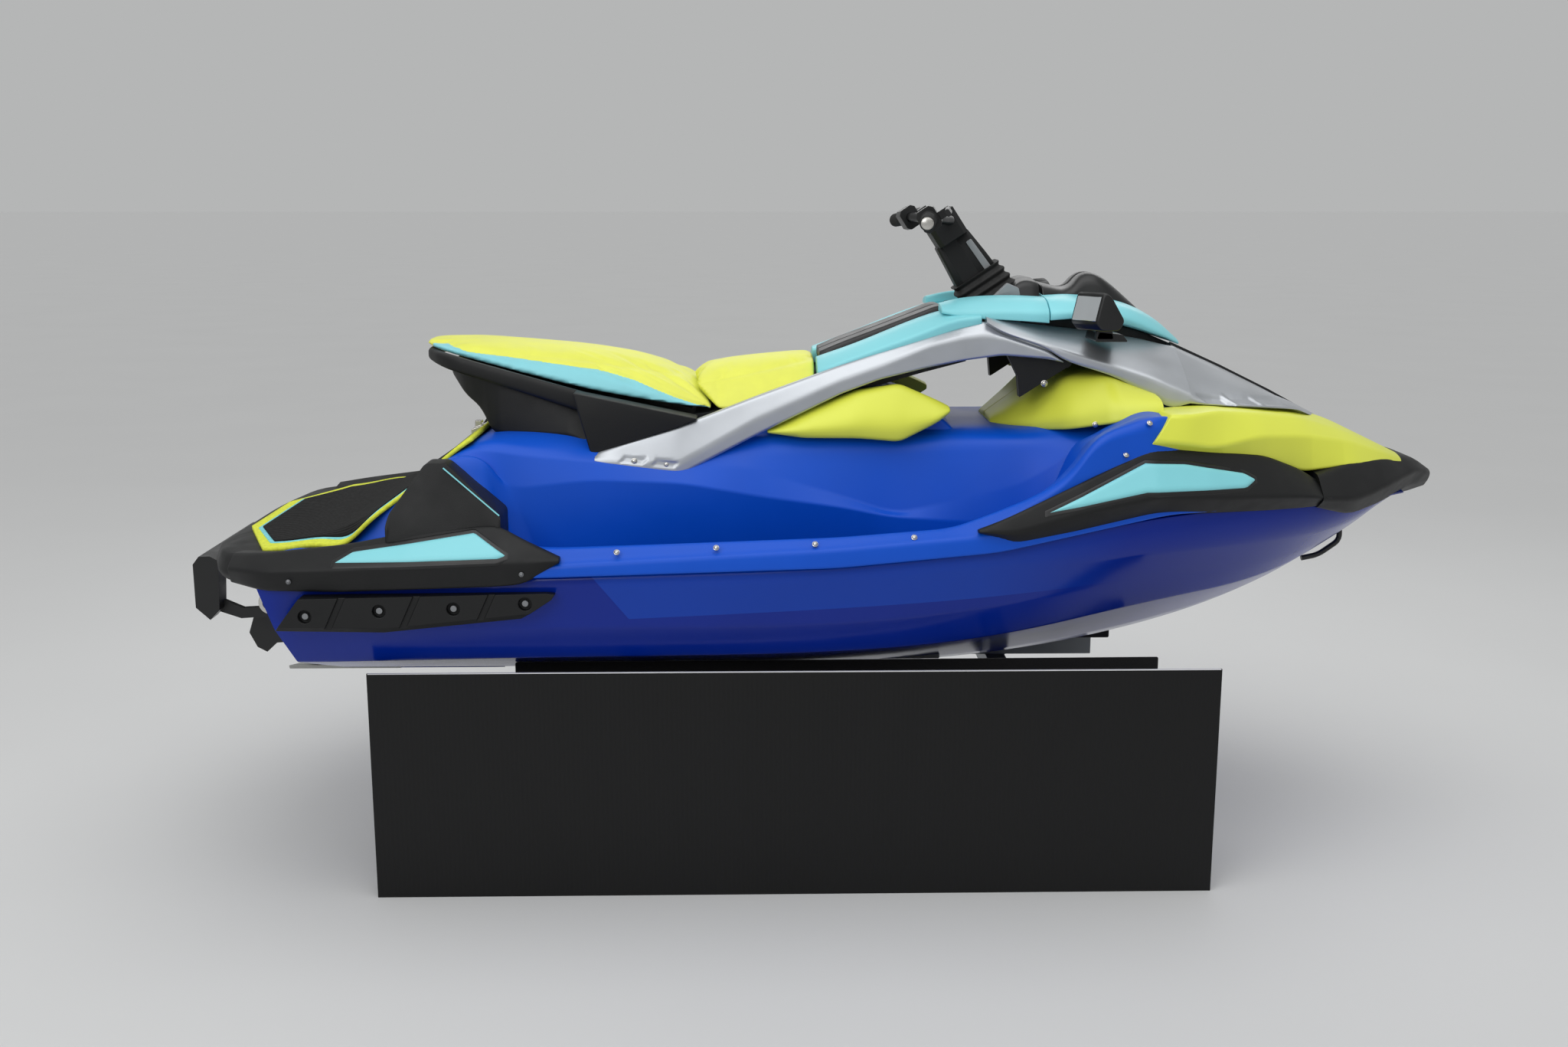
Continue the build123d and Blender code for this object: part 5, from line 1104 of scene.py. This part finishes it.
trim = {
    # slabs: outline, the two sides, the rounding of corners and of edges
    "sideCover": ([(-561, 1088), (-289, 1031), (-330, 1014), (-523, 953), (-547, 1037)], -302, -236, 7, 5),
    "dashSide": ([(370, 1282), (402, 1313), (428, 1302), (432, 1284)], -122, -104, 4, 2),
    # ribbons: path, then half sizes across and up
    "chockLine": ([(-812, -460.0, 951), (-694, -495.6, 857)], (0.9, 0, 1.1), (0, -1.2, 0.4)),
    "crownLine": ([(806, 0, 1168), (924, 0, 1115), (1043, 0, 1057), (1142, 0, 1004)], (0, 6, 0), (1.2, 0, 2.4)),
    # on the column: outline, the two sides, the rounding of corners and of the outer edge
    "columnStrip": ([(37, 15), (53, 15), (47, 100), (33, 100)], (-34.6, -28), 3, 1.2),
    # path, radius, bend
    "bowHook": ([(1238, 0, 726), (1240, 0, 694), (1190, 0, 658), (1150, 0, 650)], 6.5, 16),
}
addShape("seat_side_covers", [softSlab(*trim["sideCover"])], blackTextured)
addShape("dash_side_panels", [softSlab(*trim["dashSide"])], greyPlastic)
addShape("chock_lines", [ribbon(*trim["chockLine"])], tealPlastic)
outline, sides, corner, edge = trim["columnStrip"]
strip = softened(np.array([[onSteering(x, y, z) for x, z in outline] for y in sides]) / 1000, corner)
addShape("column_strips", [eased(strip, edge)], greyPlastic, None, "steering")
addShape("crown_line", [ribbon(*trim["crownLine"])], blackSatin, mirrored=False)
addShape("bow_hook", [tube(*trim["bowHook"])], blackSatin, "bow_eye", mirrored=False)
addCovers({
    "hood_frame_shell": {"node": "hood_frame", "material": blackTextured, "loft": ([2, 4, 4, 2],), "angle": 32,
                         "rows": [
        (482, 1180, (168, 1180), (166, 1236), 1240),
        (600, 1180, (154, 1180), (152, 1232), 1236),
        (700, 1170, (138, 1170), (136, 1208), 1212),
        (790, 1160, (74, 1160), (72, 1172), 1174),
    ]},
})
mat = {
    # the ramp's line
    "ramp": [(-1312, 763), (-1200, 762), (-1050, 790), (-905, 885), (-828, 956), (-777, 990)],
    # each layer: half-breadths along the ramp, height above it, thickness
    "border": ([(-1312, 150), (-1214, 396), (-1050, 428), (-985, 430), (-905, 382), (-828, 346), (-777, 326)], 6, 9),
    "line": ([(-1288, 178), (-1212, 346), (-1000, 402), (-946, 380), (-858, 256)], 7.4, 3),
    "top": ([(-1280, 172), (-1206, 337), (-1002, 393), (-950, 371), (-866, 250)], 10, 5),
    "grid": (90, 61), "along": (50, 7),
}


def matLayer(name, layer, material, node=None):
    # heights follow the ramp's softened line, and each station runs between its half-breadths
    plan, rise, thickness = mat[layer]
    x, across = (np.linspace(*ends, count) for ends, count in zip(((plan[0][0], plan[-1][0]), (-1, 1)), mat["grid"]))
    half = np.interp(x, *np.array(plan, float).T)
    line = softened(np.array([(a, 0, b) for a, b in mat["ramp"]]) / 1000, *mat["along"], False)
    height = np.interp(x / 1000, line[:, 0], line[:, 2]) + rise / 1000
    grid = np.stack(np.broadcast_arrays(x[:, None] / 1000, half[:, None] * across / 1000, height[:, None]), -1)
    grid[..., 2] -= sideDip(grid[..., 0], grid[..., 1])
    piece = addShape(name, [grid], material, node, loop=False, mirrored=False)
    if piece.data.polygons[0].normal.z < 0:
        piece.data.flip_normals()
    wall(piece, thickness)


matLayer("mat_border", "border", limeFoam, "deck_mat")
matLayer("mat_line", "line", tealFoam)
matLayer("mat_top", "top", blackFoam, "deck_mat_top")

board = {"left": -992, "right": 832, "face": -452.5, "top": 507.4, "returnDepth": 98, "returnDrop": 54,
         "halfSheet": (2.7, 0.8)}


def makeBoardEdge():
    # the cut edge of the twin-wall sheet shows white along its top and down both returns
    face, top = board["face"], board["top"]
    across, up = board["halfSheet"]
    sides = (board["left"], board["right"])
    edges = [ribbon([(x, face, top) for x in sides], (0, across, 0), (0, 0, up))]
    edges += [ribbon([(x, face, top), (x, face + board["returnDepth"], top - board["returnDrop"])], (across, 0, 0),
                     (0, 0, up)) for x in sides]
    addShape("board_core_edge", edges, whiteSheet, mirrored=False)


makeBoardEdge()
print("details made")

view = {"place": (-0.1702, -3.7073, 1.4827), "down": 11.336, "turn": 1.117, "lens": 36.37}
camera = addObject("camera", bpy.data.cameras.new("camera"))
camera.location = view["place"]
camera.rotation_euler = (radians(90 - view["down"]), 0, radians(-view["turn"]))
camera.data.lens = view["lens"]
bpy.context.scene.camera = camera

# place, aim, size and power; then the power, breadth and tilt of a wide light that keeps the far floor pale
lights = {"overhead": ((0.0, -0.6, 3.6), (0, 0, 0.8), (4.2, 3.0), 40),
          "front": ((-2.2, -3.8, 2.6), (0, 0, 0.8), (2.4, 1.6), 26),
          "back": ((0.6, 3.2, 2.6), (0, 0, 0.9), (3.6, 1.4), 18)}
even = {"power": 0.75, "angle": 70, "tilt": (38, 0, -14)}
for name, (place, aim, size, power) in lights.items():
    data = bpy.data.lights.new(name, "AREA")
    data.shape, data.size, data.size_y, data.energy = "RECTANGLE", *size, power
    lamp = addObject(name, data)
    lamp.location = place
    lamp.rotation_euler = Vector(np.array(aim) - np.array(place)).to_track_quat("-Z", "Y").to_euler()
data = bpy.data.lights.new("even", "SUN")
data.energy, data.angle = even["power"], radians(even["angle"])
addObject("even", data).rotation_euler = [radians(part) for part in even["tilt"]]

surround = {"reach": 400.0, "floor": "DADBDB", "light": ("FFFFFF", 0.44), "backdrop": ("B5B6B6", 1.0)}


def groundAndAir():
    # plain pale floor that keeps its shadow, and a plain pale surround that mirrors and glass see too
    mesh = bpy.data.meshes.new("floor")
    mesh.from_pydata([(x * surround["reach"], y * surround["reach"], 0)
                      for x, y in ((-1, -1), (1, -1), (1, 1), (-1, 1))], [], [(0, 1, 2, 3)])
    material, tree, bsdf, place = startMaterial("paintedFloor", Roughness=0.7)
    mottle(tree, bsdf, place, surround["floor"], 0.01, 900)
    mesh.materials.append(material)
    addObject("floor", mesh)
    world = bpy.data.worlds.new("studio")
    bpy.context.scene.world = world
    world.use_nodes = True
    tree = world.node_tree
    tree.nodes.clear()
    path = addNode(tree, "ShaderNodeLightPath")
    through = maths(tree, "MAXIMUM", (path, "Is Glossy Ray"), (path, "Is Transmission Ray"))
    seen = maths(tree, "MAXIMUM", (path, "Is Camera Ray"), through)
    light, backdrop = ((addNode(tree, "ShaderNodeBackground", {"Color": linearColour(code), "Strength": strength}),
                        "Background") for code, strength in (surround["light"], surround["backdrop"]))
    mix = addNode(tree, "ShaderNodeMixShader", {}, {0: seen, 1: light, 2: backdrop})
    addNode(tree, "ShaderNodeOutputWorld", {}, {"Surface": (mix, "Shader")})


groundAndAir()
bpy.context.scene.view_settings.view_transform = "Standard"
print("camera and light set")
